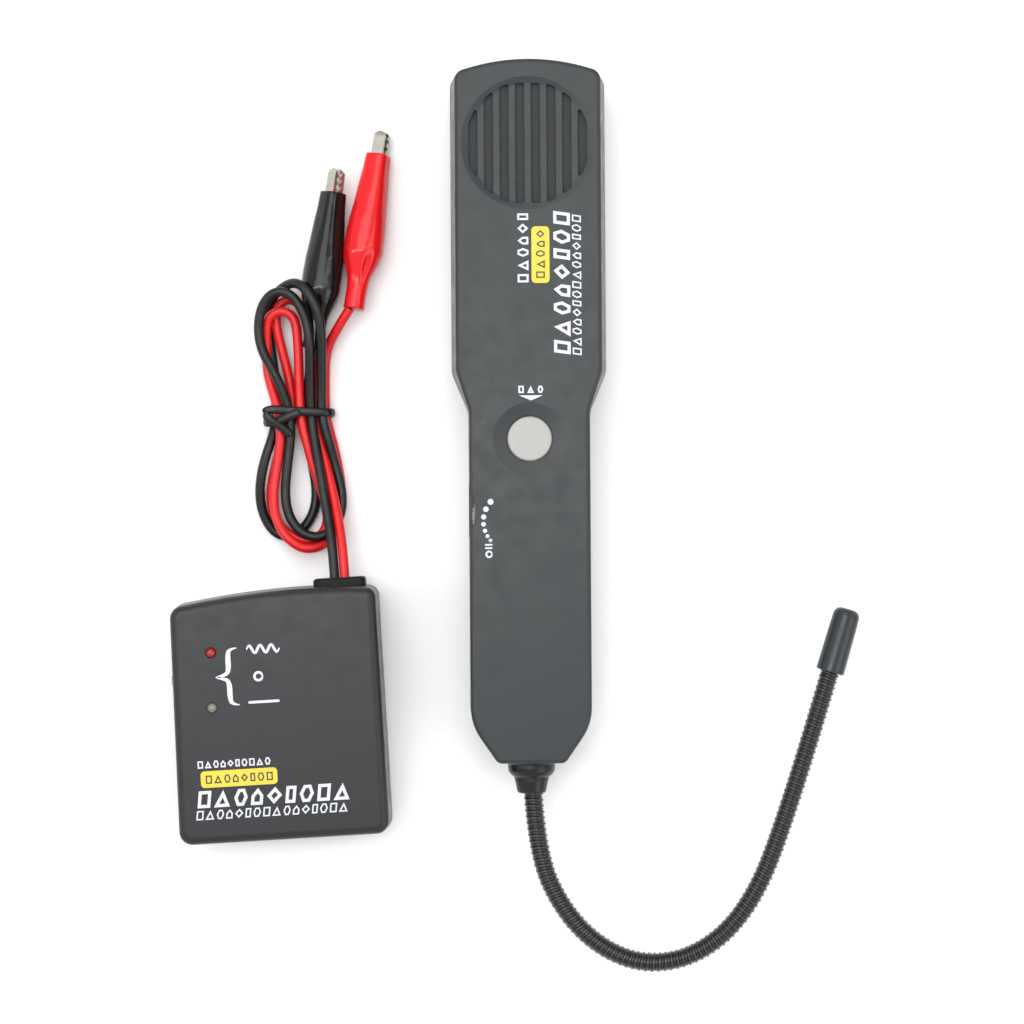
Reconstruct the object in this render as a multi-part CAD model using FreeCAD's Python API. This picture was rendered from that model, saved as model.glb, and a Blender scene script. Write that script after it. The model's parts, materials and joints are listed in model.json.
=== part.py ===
import FreeCAD
import Part
import math
import os
from FreeCAD import Matrix
from FreeCAD import Placement
from FreeCAD import Rotation
from FreeCAD import Vector

# Circuit breaker finder: a hand-held receiver with a gooseneck probe, and a transmitter box with
# two clip leads folded into a tied hank.  Millimetres, +Z up from the backs of both units.
# The origin is the centre of the receiver's flat back, and +Y points to the speaker end.

# ---------------------------------------------------------------- receiver case
CASE_DEPTH = 28.0
CASE_PARTING = 14.0
CASE_WALL = 2.0
HEAD_APEX = 108.8
HEAD_SHOULDER = 102.4
HEAD_TOP_ROUND = 62.0
HEAD_HALF = 21.85
HEAD_HALF_PARTING = 23.6
GRIP_HALF = 18.15
GRIP_HALF_PARTING = 18.6
TAPER_TOP = 12.3
TAPER_BOTTOM = 0.45
TAIL_CORNER = -93.8
TAIL_END = -105.6
TAIL_HALF = 10.1
FRONT_EDGE_ROUND = 1.3
BACK_EDGE_ROUND = 2.0
PARTING_STEP = 0.25

# ---------------------------------------------------------------- speaker
SPEAKER_Y = 80.8
SPEAKER_RADIUS = 18.0
GRILLE_RING_RADIUS = 20.1
GRILLE_RADIUS = 18.7
GRILLE_HALF_HEIGHT = 18.0
GRILLE_DEPTH = 0.6
SLOT_COUNT = 8
SLOT_PITCH = 4.7
SLOT_WIDTH = 2.75
SLOT_CORNER = 0.5

# ---------------------------------------------------------------- test button
BUTTON_Y = -8.0
BUTTON_RADIUS = 6.65
BUTTON_TOP = 28.6
BUTTON_GAP = 0.3
DISH_RADIUS = 10.95
DISH_DEPTH = 0.8

# ---------------------------------------------------------------- thumbwheel
WHEEL_X = -8.1
WHEEL_Y = -31.2
WHEEL_RADIUS = 9.5
WHEEL_BOTTOM = 20.4
WHEEL_TOP = 23.2
SCOOP_Y = -29.6
SCOOP_CHORD = 15.0
SCOOP_DEPTH = 1.7

# ---------------------------------------------------------------- boards and batteries
BOARD_BOTTOM = 15.6
BOARD_TOP = 17.2
BATTERY_LENGTH = 48.5
BATTERY_WIDTH = 26.5
BATTERY_DEPTH = 17.5
BATTERY_BOTTOM = 2.3
SCREW_RADIUS = 1.2
SCREW_HEAD_RADIUS = 2.2

# ---------------------------------------------------------------- sliding battery doors
DOOR_HALF = 14.2
DOOR_TONGUE = 0.8
DOOR_GAP = 0.3
DOOR_TOP_Y = -42.0

# ---------------------------------------------------------------- gooseneck probe
NECK_RADIUS = 2.95
NECK_Z = 14.0
COLLAR_RADIUS = 7.15
COLLAR_LIP_RADIUS = 7.85
FERRULE_END = -115.6
FLEX_START = 3.2
NECK_ROUTE = [
    (0.0, -98.2, NECK_Z),
    (0.0, -131.2, NECK_Z),
    (11.0, -155.4, NECK_Z),
    (29.1, -168.3, NECK_Z),
    (48.5, -167.1, NECK_Z),
    (65.2, -153.5, NECK_Z),
    (77.3, -126.2, NECK_Z),
    (92.3, -76.05, NECK_Z),
]
TIP_LENGTH = 20.0
TIP_BASE_RADIUS = 4.35
TIP_END_RADIUS = 4.05
TIP_SOCKET = 3.5

# ---------------------------------------------------------------- transmitter
BOX_X = -75.5
BOX_Y = -90.7
BOX_TURN = 3.1
BOX_RIGHT = 31.1
BOX_LEFT_TOP = -32.2
BOX_LEFT_BOTTOM = -33.4
BOX_BOTTOM = -38.05
BOX_DEPTH = 26.0
BOX_PARTING = 13.0
BOX_WALL = 2.0
BOX_DRAFT = 0.6
BOX_EDGE_ROUND = 2.6
LAMP_RADIUS = 1.5
RED_LAMP = (-19.8, 20.1)
CLEAR_LAMP = (-20.4, 3.5)
SWITCH_X = -32.75
SWITCH_Y = 12.0
SWITCH_Z = 19.5
SWITCH_TRAVEL = 2.0
GROMMET_X = 19.4
GROMMET_FACE = 40.1
LEAD_HEIGHT = 13.0
BOX_DOOR_HALF = 25.6
BOX_DOOR_TOP_Y = -7.0

# ---------------------------------------------------------------- leads, hank and tie
LEAD_RADIUS = 1.5
BLACK_EXIT_X = 17.85
RED_EXIT_X = 20.95
HANK_HEIGHT = 6.6
HANK_ROUND = 1.8
HANK_OUTLINE = [
    (-84.3, 41.0, 9.0),
    (-64.6, 41.0, 8.0),
    (-64.6, 8.0, 5.0),
    (-60.8, 2.6, 3.0),
    (-60.8, -5.4, 5.0),
    (-57.2, -17.0, 6.0),
    (-57.2, -41.8, 12.0),
    (-84.6, -41.8, 12.0),
    (-84.6, -18.0, 6.0),
    (-80.0, -6.3, 5.0),
    (-80.0, 3.2, 5.0),
    (-84.3, 13.0, 6.0),
]
TIE_THICKNESS = 1.1
TIE_Y = -1.0
TIE_WIDTH = 4.0
TIE_LEFT = -80.0
TIE_RIGHT = -60.8

# ---------------------------------------------------------------- alligator clips
CLIP_LENGTH = 56.0
BOOT_LENGTH = 48.5
CLIP_PIVOT = 28.0
CLIP_HALF = 2.3
CLIP_SHEET = 0.45
CLIP_PIN_RADIUS = 1.0
TOOTH_PITCH = 2.2
TOOTH_DEPTH = 0.9
CLIP_BELLY = 20.0
CLIP_REST = 6.45
RED_CLIP_TIP = (-44.75, 88.0)
RED_CLIP_HEADING = 9.3
RED_CLIP_ROLL = -20.0
RED_CLIP_PITCH = 4.0
BLACK_CLIP_TIP = (-58.8, 76.3)
BLACK_CLIP_HEADING = 8.0
BLACK_CLIP_ROLL = -45.0
BLACK_CLIP_PITCH = 0.0


# ================================================================ helpers
def box(x0, x1, y0, y1, z0, z1):
    return Part.makeBox(x1 - x0, y1 - y0, z1 - z0, Vector(x0, y0, z0))


def cylinder(x, y, z0, z1, radius):
    return Part.makeCylinder(radius, z1 - z0, Vector(x, y, z0))


def cylinder_along_y(x, z, y0, y1, radius):
    return Part.makeCylinder(radius, y1 - y0, Vector(x, y0, z), Vector(0, 1, 0))


def cone(x, y, z0, z1, radius0, radius1):
    return Part.makeCone(radius0, radius1, z1 - z0, Vector(x, y, z0))


def rounded_box(x0, x1, y0, y1, z0, z1, radius):
    shape = box(x0, x1, y0, y1, z0, z1)
    return shape.makeFillet(radius, shape.Edges)


def joined(shapes):
    result = shapes[0].fuse(shapes[1:])
    return result.removeSplitter()


def rounded_wire(corners, z):
    """Closed outline of straight sides with an arc of the given radius at each corner."""
    count = len(corners)
    arcs = []
    for i in range(count):
        x, y, radius = corners[i]
        here = Vector(x, y, z)
        before = Vector(corners[i - 1][0], corners[i - 1][1], z)
        after = Vector(corners[(i + 1) % count][0], corners[(i + 1) % count][1], z)
        to_before = (before - here).normalize()
        to_after = (after - here).normalize()
        half = math.acos(to_before.dot(to_after)) / 2
        reach = radius / math.tan(half)
        bisector = (to_before + to_after).normalize()
        middle = here + bisector * (radius / math.sin(half) - radius)
        arcs.append((here + to_before * reach, middle, here + to_after * reach))
    edges = []
    for i in range(count):
        edges.append(Part.LineSegment(arcs[i - 1][2], arcs[i][0]).toShape())
        edges.append(Part.Arc(*arcs[i]).toShape())
    return Part.Wire(edges)


def rounded_plate(corners, z0, z1):
    face = Part.Face(rounded_wire(corners, z0))
    return face.extrude(Vector(0, 0, z1 - z0))


def round_end_edges(shape, z, radius):
    """Round the outer edge of the face that lies at height z."""
    faces = [f for f in shape.Faces if abs(f.CenterOfMass.z - z) < 0.001]
    return shape.makeFillet(radius, faces[0].OuterWire.Edges)


def spun(profile, start, axis):
    """Solid of revolution: the profile is a list of (radius, distance along the axis)."""
    points = [Vector(r, y, 0) for r, y in profile]
    face = Part.Face(Part.makePolygon(points + [points[0]]))
    solid = face.revolve(Vector(0, 0, 0), Vector(0, 1, 0), 360)
    solid.Placement = Placement(start, Rotation(Vector(0, 1, 0), axis))
    return solid


def route_edges(points):
    """Straight runs joined by tangent arcs."""
    corners = [Vector(*p) for p in points]
    edges = []
    start = corners[0]
    for i in range(1, len(corners) - 1):
        back = corners[i - 1] - corners[i]
        ahead = corners[i + 1] - corners[i]
        reach = 0.45 * min(back.Length, ahead.Length)
        to_back = back.normalize()
        to_ahead = ahead.normalize()
        half = math.acos(to_back.dot(to_ahead)) / 2
        radius = reach * math.tan(half)
        bisector = (to_back + to_ahead).normalize()
        arc_start = corners[i] + to_back * reach
        arc_end = corners[i] + to_ahead * reach
        middle = corners[i] + bisector * (radius / math.sin(half) - radius)
        edges.append(Part.LineSegment(start, arc_start).toShape())
        edges.append(Part.Arc(arc_start, middle, arc_end).toShape())
        start = arc_end
    edges.append(Part.LineSegment(start, corners[-1]).toShape())
    return edges


def tube(edges, radius):
    """Round solid swept along a chain of tangent edges."""
    start = edges[0].valueAt(edges[0].FirstParameter)
    heading = edges[0].tangentAt(edges[0].FirstParameter)
    profile = Part.Wire(Part.Circle(start, heading, radius).toShape())
    return Part.Wire(edges).makePipeShell([profile], True, False)


def placed(shape, placement):
    result = shape.copy()
    result.Placement = placement.multiply(result.Placement)
    return result


# ================================================================ receiver
def receiver_outline(head_half, grip_half, inset, z):
    tail_round = max(2.5 - inset, 0.6)
    shoulder_round = max(3.5 - inset, 0.9)
    right = [
        (head_half - inset, HEAD_SHOULDER - inset, shoulder_round),
        (head_half - inset, TAPER_TOP, 8.0),
        (grip_half - inset, TAPER_BOTTOM, 8.0),
        (grip_half - inset, TAIL_CORNER, 16.0 - inset),
        (TAIL_HALF - 0.6 * inset, TAIL_END + inset, tail_round),
    ]
    left = [(-x, y, r) for x, y, r in reversed(right)]
    return rounded_wire([(0, HEAD_APEX - inset, HEAD_TOP_ROUND - 4 * inset)] + right + left, z)


def receiver_front_solid():
    parting = receiver_outline(HEAD_HALF_PARTING, GRIP_HALF_PARTING, 0, CASE_PARTING)
    face = receiver_outline(HEAD_HALF, GRIP_HALF, 0, CASE_DEPTH)
    solid = Part.makeLoft([parting, face], True, True)
    return round_end_edges(solid, CASE_DEPTH, FRONT_EDGE_ROUND)


def receiver_rear_solid():
    parting = receiver_outline(HEAD_HALF_PARTING, GRIP_HALF_PARTING, PARTING_STEP, CASE_PARTING)
    back = receiver_outline(HEAD_HALF, GRIP_HALF, 0.5, 0)
    solid = Part.makeLoft([back, parting], True, True)
    return round_end_edges(solid, 0, BACK_EDGE_ROUND)


def receiver_cavity(z0, z1):
    lower = receiver_outline(HEAD_HALF, GRIP_HALF, CASE_WALL, z0)
    upper = receiver_outline(HEAD_HALF, GRIP_HALF, CASE_WALL, z1)
    return Part.makeLoft([lower, upper], True, True)


RECEIVER_SCREWS = [(-15.6, 96.6), (15.6, 96.6), (-16.0, 24.0), (16.0, 24.0)]
BOARD_POSTS = [(-12.0, 5.6), (12.0, 5.6), (12.2, -36.4)]


def grille_slot(x):
    """Upright slot whose rounded ends follow the circle of the grille."""
    bottom = SPEAKER_Y - GRILLE_HALF_HEIGHT
    top = SPEAKER_Y + GRILLE_HALF_HEIGHT
    slot = box(x - SLOT_WIDTH / 2, x + SLOT_WIDTH / 2, bottom, top, 25, 29)
    slot = slot.common(cylinder(0, SPEAKER_Y, 25, 29, GRILLE_RADIUS))
    corners = [e for e in slot.Edges if abs(e.tangentAt(e.FirstParameter).z) > 0.99]
    sharp = [e for e in corners if abs(e.CenterOfMass.x - x) > SLOT_WIDTH / 2 - 0.01]
    return slot.makeFillet(SLOT_CORNER, sharp)


def receiver_front_shell():
    outer = receiver_front_solid()
    shell = outer.cut(receiver_cavity(CASE_PARTING, CASE_DEPTH - CASE_WALL))

    # curved well behind the thumbwheel scoop
    radius = (SCOOP_CHORD ** 2 / 4 + SCOOP_DEPTH ** 2) / (2 * SCOOP_DEPTH)
    centre_x = -GRIP_HALF + SCOOP_DEPTH - radius
    scoop = cylinder(centre_x, SCOOP_Y, 16.5, 29, radius)
    well = cylinder(centre_x, SCOOP_Y, CASE_PARTING, CASE_DEPTH - CASE_WALL, radius + 1.6)
    shell = shell.fuse(well.common(outer)).cut(scoop)

    posts = []
    for x, y in RECEIVER_SCREWS:
        posts.append(cylinder(x, y, CASE_PARTING, CASE_DEPTH - CASE_WALL, 2.7))
    for x, y in BOARD_POSTS:
        posts.append(cylinder(x, y, BOARD_TOP, CASE_DEPTH - CASE_WALL, 1.9))
    shell = shell.fuse(posts)

    # shallow dished ring and the grille slots
    ring = cone(0, SPEAKER_Y, CASE_DEPTH - GRILLE_DEPTH, CASE_DEPTH + 0.1,
                GRILLE_RING_RADIUS - 2.2, GRILLE_RING_RADIUS + 0.35)
    cuts = [ring]
    cuts += [grille_slot((i - (SLOT_COUNT - 1) / 2) * SLOT_PITCH) for i in range(SLOT_COUNT)]

    # finger dish and the button hole
    dish_sphere = (DISH_RADIUS ** 2 + DISH_DEPTH ** 2) / (2 * DISH_DEPTH)
    dish_centre = Vector(0, BUTTON_Y, CASE_DEPTH - DISH_DEPTH + dish_sphere)
    cuts.append(Part.makeSphere(dish_sphere, dish_centre))
    cuts.append(cylinder(0, BUTTON_Y, 25, 29, BUTTON_RADIUS + BUTTON_GAP))

    # thumbwheel slot, gooseneck hole, screw pilots
    cuts.append(cylinder(WHEEL_X, WHEEL_Y, WHEEL_BOTTOM - 0.4, WHEEL_TOP + 0.4, WHEEL_RADIUS + 0.4))
    cuts.append(cylinder_along_y(0, NECK_Z, TAIL_END - 1, TAIL_END + 3, NECK_RADIUS + 0.15))
    for x, y in RECEIVER_SCREWS:
        cuts.append(cylinder(x, y, CASE_PARTING - 1, 24, SCREW_RADIUS - 0.1))
    return shell.cut(cuts)


def receiver_rear_shell():
    shell = receiver_rear_solid().cut(receiver_cavity(CASE_WALL, CASE_PARTING))
    bosses = [cylinder(x, y, CASE_WALL, CASE_PARTING, 2.7) for x, y in RECEIVER_SCREWS]
    shell = shell.fuse(bosses)
    cuts = []
    for x, y in RECEIVER_SCREWS:
        cuts.append(cylinder(x, y, -1, CASE_PARTING + 1, SCREW_RADIUS + 0.15))
        cuts.append(cylinder(x, y, -1, 1.6, SCREW_HEAD_RADIUS + 0.2))
    wide = DOOR_HALF + DOOR_TONGUE + DOOR_GAP
    cuts.append(box(-DOOR_HALF - DOOR_GAP, DOOR_HALF + DOOR_GAP, -110, DOOR_TOP_Y + DOOR_GAP, -1, 1.5))
    cuts.append(box(-wide, wide, -110, DOOR_TOP_Y + DOOR_GAP, 0.75, CASE_WALL + 0.01))
    cuts.append(cylinder_along_y(0, NECK_Z, TAIL_END - 1, TAIL_END + 3, NECK_RADIUS + 0.15))
    return shell.cut(cuts)


def receiver_battery_door():
    outline = receiver_rear_solid()
    plate = box(-DOOR_HALF, DOOR_HALF, TAIL_END - 1, DOOR_TOP_Y, 0, 1.2)
    wide = DOOR_HALF + DOOR_TONGUE
    tongue = box(-wide, wide, TAIL_END - 1, DOOR_TOP_Y, 1.05, CASE_WALL)
    door = joined([plate, tongue]).common(outline)
    grooves = []
    for i in range(5):
        y = -52 - 3 * i
        grooves.append(box(-8, 8, y - 0.6, y + 0.6, -1, 0.5))
    return door.cut(grooves)


def speaker_frame():
    flange = cylinder(0, SPEAKER_Y, 24.8, CASE_DEPTH - CASE_WALL, SPEAKER_RADIUS)
    basket = cone(0, SPEAKER_Y, 17.5, 24.8, 9.5, 17.0)
    hollow = cone(0, SPEAKER_Y, 18.3, 26.1, 9.0, 16.6)
    windows = []
    for i in range(4):
        window = box(-3, 3, 10.2, 20, 18.6, 23.4)
        window.rotate(Vector(0, 0, 0), Vector(0, 0, 1), 45 + 90 * i)
        window.translate(Vector(0, SPEAKER_Y, 0))
        windows.append(window)
    return flange.fuse(basket).cut([hollow] + windows)


def speaker_cone():
    profile = [(4.0, 19.0), (15.1, 24.9), (15.1, 25.4), (4.0, 20.0), (0, 21.2), (0, 20.4), (3.6, 19.0)]
    return spun(profile, Vector(0, SPEAKER_Y, 0), Vector(0, 0, 1))


def speaker_magnet():
    plate = cylinder(0, SPEAKER_Y, 16.3, 17.5, 9.5)
    magnet = cylinder(0, SPEAKER_Y, 11.5, 16.3, 9.0)
    yoke = cylinder(0, SPEAKER_Y, 10.3, 11.5, 7.5)
    return joined([plate, magnet, yoke])


def test_button():
    cap = cylinder(0, BUTTON_Y, 24.8, BUTTON_TOP, BUTTON_RADIUS)
    cap = round_end_edges(cap, BUTTON_TOP, 0.7)
    flange = cylinder(0, BUTTON_Y, 24.6, 25.8, BUTTON_RADIUS + 1.3)
    stem = cylinder(0, BUTTON_Y, 20.9, 24.8, 2.0)
    return joined([cap, flange, stem])


def test_button_switch():
    body = box(-3.1, 3.1, BUTTON_Y - 3.1, BUTTON_Y + 3.1, BOARD_TOP, 19.2)
    plunger = cylinder(0, BUTTON_Y, 19.2, 19.6, 1.7)
    return joined([body, plunger])


def receiver_circuit_board():
    return box(-14.3, 15.2, -39.6, 9.0, BOARD_BOTTOM, BOARD_TOP)


def chip(x, y, z, length, width):
    """Small-outline chip with a row of legs on each long side."""
    body = box(x - length / 2, x + length / 2, y - width / 2, y + width / 2, z + 0.3, z + 1.9)
    parts = [body]
    for i in range(4):
        leg_x = x + (i - 1.5) * length / 4
        parts.append(box(leg_x - 0.25, leg_x + 0.25, y - width / 2 - 1.2, y + width / 2 + 1.2, z, z + 0.6))
    return joined(parts)


def receiver_board_components():
    """Amplifier chip and three round capacitors."""
    return Part.makeCompound([
        chip(5.0, -25.0, BOARD_TOP, 9.0, 5.0),
        cylinder(-11.0, -12.0, BOARD_TOP, 23.5, 2.5),
        cylinder(-11.0, -5.0, BOARD_TOP, 23.5, 2.5),
        cylinder(11.0, -8.0, BOARD_TOP, 22.0, 3.1),
    ])


def sensitivity_potentiometer():
    body = cylinder(WHEEL_X, WHEEL_Y, BOARD_TOP, 20.0, 5.1)
    return body.cut(cylinder(WHEEL_X, WHEEL_Y, 18.0, 21.0, 1.55))


def sensitivity_wheel():
    disc = cylinder(WHEEL_X, WHEEL_Y, WHEEL_BOTTOM, WHEEL_TOP, WHEEL_RADIUS)
    hub = cylinder(WHEEL_X, WHEEL_Y, 18.2, WHEEL_BOTTOM, 1.5)
    notches = []
    for i in range(40):
        angle = math.radians(9 * i)
        x = WHEEL_X + (WHEEL_RADIUS + 0.1) * math.cos(angle)
        y = WHEEL_Y + (WHEEL_RADIUS + 0.1) * math.sin(angle)
        notches.append(cylinder(x, y, WHEEL_BOTTOM - 0.1, WHEEL_TOP + 0.1, 0.38))
    recess = cylinder(WHEEL_X, WHEEL_Y, WHEEL_TOP - 0.9, WHEEL_TOP + 0.1, 2.4)
    bore = cylinder(WHEEL_X, WHEEL_Y, 19.0, WHEEL_TOP, 0.8)
    return disc.fuse(hub).cut(notches + [recess, bore])


def wheel_screw():
    head = cylinder(WHEEL_X, WHEEL_Y, WHEEL_TOP - 0.9, WHEEL_TOP + 0.1, 1.9)
    shank = cylinder(WHEEL_X, WHEEL_Y, 19.0, WHEEL_TOP - 0.9, 0.85)
    slot = box(WHEEL_X - 2.0, WHEEL_X + 2.0, WHEEL_Y - 0.25, WHEEL_Y + 0.25, WHEEL_TOP - 0.4, WHEEL_TOP + 0.2)
    return joined([head, shank]).cut(slot)


def battery(x0, x1, y0, y1):
    z1 = BATTERY_BOTTOM + BATTERY_DEPTH
    return rounded_box(x0, x1, y0, y1, BATTERY_BOTTOM, z1, 1.2)


def receiver_battery():
    half = BATTERY_WIDTH / 2
    return battery(-half, half, -94.5, -94.5 + BATTERY_LENGTH)


def receiver_battery_snap():
    plate = box(-12.0, 12.0, -46.0, -42.8, 4.5, 17.5)
    studs = []
    for x in (-6.3, 6.3):
        studs.append(cylinder_along_y(x, 11.0, -42.8, -41.0, 3.2))
    return joined([plate] + studs)


def case_screw(x, y, head_top, tip):
    head = cylinder(x, y, 0.4, head_top, SCREW_HEAD_RADIUS)
    shank = cylinder(x, y, head_top, tip, SCREW_RADIUS)
    cross = box(x - 1.3, x + 1.3, y - 0.3, y + 0.3, 0.3, 1.0)
    cross = cross.fuse(box(x - 0.3, x + 0.3, y - 1.3, y + 1.3, 0.3, 1.0))
    return joined([head, shank]).cut(cross)


def receiver_case_screws():
    return Part.makeCompound([case_screw(x, y, 1.6, 22.0) for x, y in RECEIVER_SCREWS])


# ================================================================ gooseneck probe
def probe_collar():
    bore = NECK_RADIUS + 0.07
    profile = [
        (bore, 0.0), (COLLAR_LIP_RADIUS, 0.0), (COLLAR_LIP_RADIUS, 0.8), (COLLAR_LIP_RADIUS - 0.3, 1.1),
        (COLLAR_RADIUS, 1.1), (COLLAR_RADIUS + 0.05, 2.2), (COLLAR_RADIUS - 0.1, 3.3),
        (COLLAR_RADIUS - 0.7, 4.3), (COLLAR_RADIUS - 1.5, 5.0), (5.3, 5.3), (5.3, 5.8), (bore, 5.8),
    ]
    return spun(profile, Vector(0, TAIL_END, NECK_Z), Vector(0, -1, 0))


def probe_ferrule():
    bore = NECK_RADIUS + 0.07
    profile = [(bore, 5.8), (5.0, 5.8), (5.1, 6.2), (4.4, 9.6), (4.1, 10.0), (bore, 10.0)]
    return spun(profile, Vector(0, TAIL_END, NECK_Z), Vector(0, -1, 0))


def gooseneck_nut():
    body = cylinder_along_y(0, NECK_Z, -103.5, -99.0, 4.8)
    flats = []
    for i in range(6):
        flat = box(4.3, 6.0, -104, -98, -4, 4)
        flat.rotate(Vector(0, 0, 0), Vector(0, 1, 0), 60 * i)
        flat.translate(Vector(0, 0, NECK_Z))
        flats.append(flat)
    return body.cut(flats + [cylinder_along_y(0, NECK_Z, -104, -98, NECK_RADIUS - 0.1)])


def neck_pieces():
    """The neck's six stiff lengths and the five short flexing lengths between them."""
    edges = route_edges(NECK_ROUTE)
    first = Vector(*NECK_ROUTE[0])
    ferrule_end = Vector(0, FERRULE_END, NECK_Z)
    flex_end = Vector(0, FERRULE_END - FLEX_START, NECK_Z)
    line_end = edges[0].valueAt(edges[0].LastParameter)
    root = [Part.LineSegment(first, ferrule_end).toShape()]
    flex_base = [Part.LineSegment(ferrule_end, flex_end).toShape()]
    lead_in = [Part.LineSegment(flex_end, line_end).toShape(), edges[1]]
    return {
        "gooseneck_root": root,
        "gooseneck_flex_1": flex_base,
        "gooseneck_segment_1": lead_in,
        "gooseneck_flex_2": [edges[2]],
        "gooseneck_segment_2": [edges[3]],
        "gooseneck_flex_3": [edges[4]],
        "gooseneck_segment_3": edges[5:8],
        "gooseneck_flex_4": [edges[8]],
        "gooseneck_segment_4": [edges[9]],
        "gooseneck_flex_5": [edges[10]],
        "gooseneck_segment_5": edges[11:13],
    }


def tip_placement():
    last = Vector(*NECK_ROUTE[-1])
    before = Vector(*NECK_ROUTE[-2])
    heading = (last - before).normalize()
    return last - heading * TIP_SOCKET, heading


def probe_tip_cap():
    start, heading = tip_placement()
    socket = NECK_RADIUS - 0.05
    end = TIP_LENGTH
    profile = [
        (socket, 0.0), (TIP_BASE_RADIUS - 0.3, 0.0), (TIP_BASE_RADIUS, 0.3), (TIP_END_RADIUS + 0.05, end - 2.2),
        (TIP_END_RADIUS - 0.25, end - 1.2), (TIP_END_RADIUS - 0.9, end - 0.4), (TIP_END_RADIUS - 1.9, end),
        (0, end), (0, end - 1.6), (socket, end - 1.6),
    ]
    return spun(profile, start, heading)


def pickup_coil():
    start, heading = tip_placement()
    bobbin = [(0, 4.0), (2.7, 4.0), (2.7, 4.8), (2.2, 4.8), (2.2, 14.2), (2.7, 14.2), (2.7, 15.0), (0, 15.0)]
    return spun(bobbin, start, heading)


# ================================================================ transmitter, in its own frame
def box_outline(inset, z):
    corner = max(4.5 - inset, 1.0)
    top_right = max(3.5 - inset, 1.0)
    return rounded_wire([
        (BOX_LEFT_BOTTOM + inset, BOX_BOTTOM + inset, corner),
        (BOX_RIGHT - inset, BOX_BOTTOM + inset, corner),
        (BOX_RIGHT - inset, 37.3 - inset, top_right),
        (0.1, 39.1 - inset, 240.0),
        (BOX_LEFT_TOP + inset, 34.7 - inset, corner),
    ], z)


def box_front_solid():
    solid = Part.makeLoft([box_outline(0, BOX_PARTING), box_outline(BOX_DRAFT, BOX_DEPTH)], True, True)
    return round_end_edges(solid, BOX_DEPTH, BOX_EDGE_ROUND)


def box_rear_solid():
    solid = Part.makeLoft([box_outline(BOX_DRAFT, 0), box_outline(PARTING_STEP, BOX_PARTING)], True, True)
    return round_end_edges(solid, 0, 1.6)


def box_cavity(z0, z1):
    lower = box_outline(BOX_WALL + BOX_DRAFT, z0)
    upper = box_outline(BOX_WALL + BOX_DRAFT, z1)
    return Part.makeLoft([lower, upper], True, True)


BOX_SCREWS = [(-25.4, 29.6), (25.4, 31.0), (-25.4, -2.4), (25.4, -2.4)]
BOX_POSTS = [(-12.0, 31.0), (8.0, 31.0), (19.0, -2.0)]
GROMMET_HOLE = (GROMMET_X - 7.1, GROMMET_X + 7.1, 33.0, 40.0, LEAD_HEIGHT - 3.8, LEAD_HEIGHT + 3.8)


def transmitter_front_shell():
    shell = box_front_solid().cut(box_cavity(BOX_PARTING, BOX_DEPTH - BOX_WALL))
    posts = []
    for x, y in BOX_SCREWS:
        posts.append(cylinder(x, y, BOX_PARTING, BOX_DEPTH - BOX_WALL, 2.7))
    for x, y in BOX_POSTS:
        posts.append(cylinder(x, y, BOARD_TOP, BOX_DEPTH - BOX_WALL, 1.9))
    shell = shell.fuse(posts)
    cuts = [box(*GROMMET_HOLE)]
    for x, y in (RED_LAMP, CLEAR_LAMP):
        cuts.append(cylinder(x, y, 23, 27, LAMP_RADIUS + 0.1))
    slot_half = 1.4 + SWITCH_TRAVEL + 0.3
    outside = SWITCH_X - 3
    cuts.append(box(outside, SWITCH_X + 4.3, SWITCH_Y - slot_half, SWITCH_Y + slot_half,
                    SWITCH_Z - 1.7, SWITCH_Z + 1.7))
    cuts.append(box(outside, SWITCH_X + 1.2, SWITCH_Y - 6.2, SWITCH_Y + 6.2, SWITCH_Z - 3.2, SWITCH_Z + 3.2))
    for x, y in BOX_SCREWS:
        cuts.append(cylinder(x, y, BOX_PARTING - 1, 22, SCREW_RADIUS - 0.1))
    return shell.cut(cuts)


def transmitter_rear_shell():
    shell = box_rear_solid().cut(box_cavity(BOX_WALL, BOX_PARTING))
    shell = shell.fuse([cylinder(x, y, BOX_WALL, BOX_PARTING, 2.7) for x, y in BOX_SCREWS])
    cuts = [box(*GROMMET_HOLE)]
    for x, y in BOX_SCREWS:
        cuts.append(cylinder(x, y, -1, BOX_PARTING + 1, SCREW_RADIUS + 0.15))
        cuts.append(cylinder(x, y, -1, 1.6, SCREW_HEAD_RADIUS + 0.2))
    narrow = BOX_DOOR_HALF + DOOR_GAP
    wide = BOX_DOOR_HALF + DOOR_TONGUE + DOOR_GAP
    below = BOX_BOTTOM - 1
    cuts.append(box(-narrow, narrow, below, BOX_DOOR_TOP_Y + DOOR_GAP, -1, 1.5))
    cuts.append(box(-wide, wide, below, BOX_DOOR_TOP_Y + DOOR_GAP, 0.75, BOX_WALL + 0.01))
    return shell.cut(cuts)


def transmitter_battery_door():
    below = BOX_BOTTOM - 1
    plate = box(-BOX_DOOR_HALF, BOX_DOOR_HALF, below, BOX_DOOR_TOP_Y, 0, 1.2)
    wide = BOX_DOOR_HALF + DOOR_TONGUE
    tongue = box(-wide, wide, below, BOX_DOOR_TOP_Y, 1.05, BOX_WALL)
    door = joined([plate, tongue]).common(box_rear_solid())
    grooves = []
    for i in range(5):
        y = -14 - 3 * i
        grooves.append(box(-9, 9, y - 0.6, y + 0.6, -1, 0.5))
    return door.cut(grooves)


def transmitter_circuit_board():
    main = box(-22.2, 22.2, -4.8, 33.0, BOARD_BOTTOM, BOARD_TOP)
    tab = box(-29.0, -22.2, 5.0, 19.0, BOARD_BOTTOM, BOARD_TOP)
    return joined([main, tab])


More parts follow.
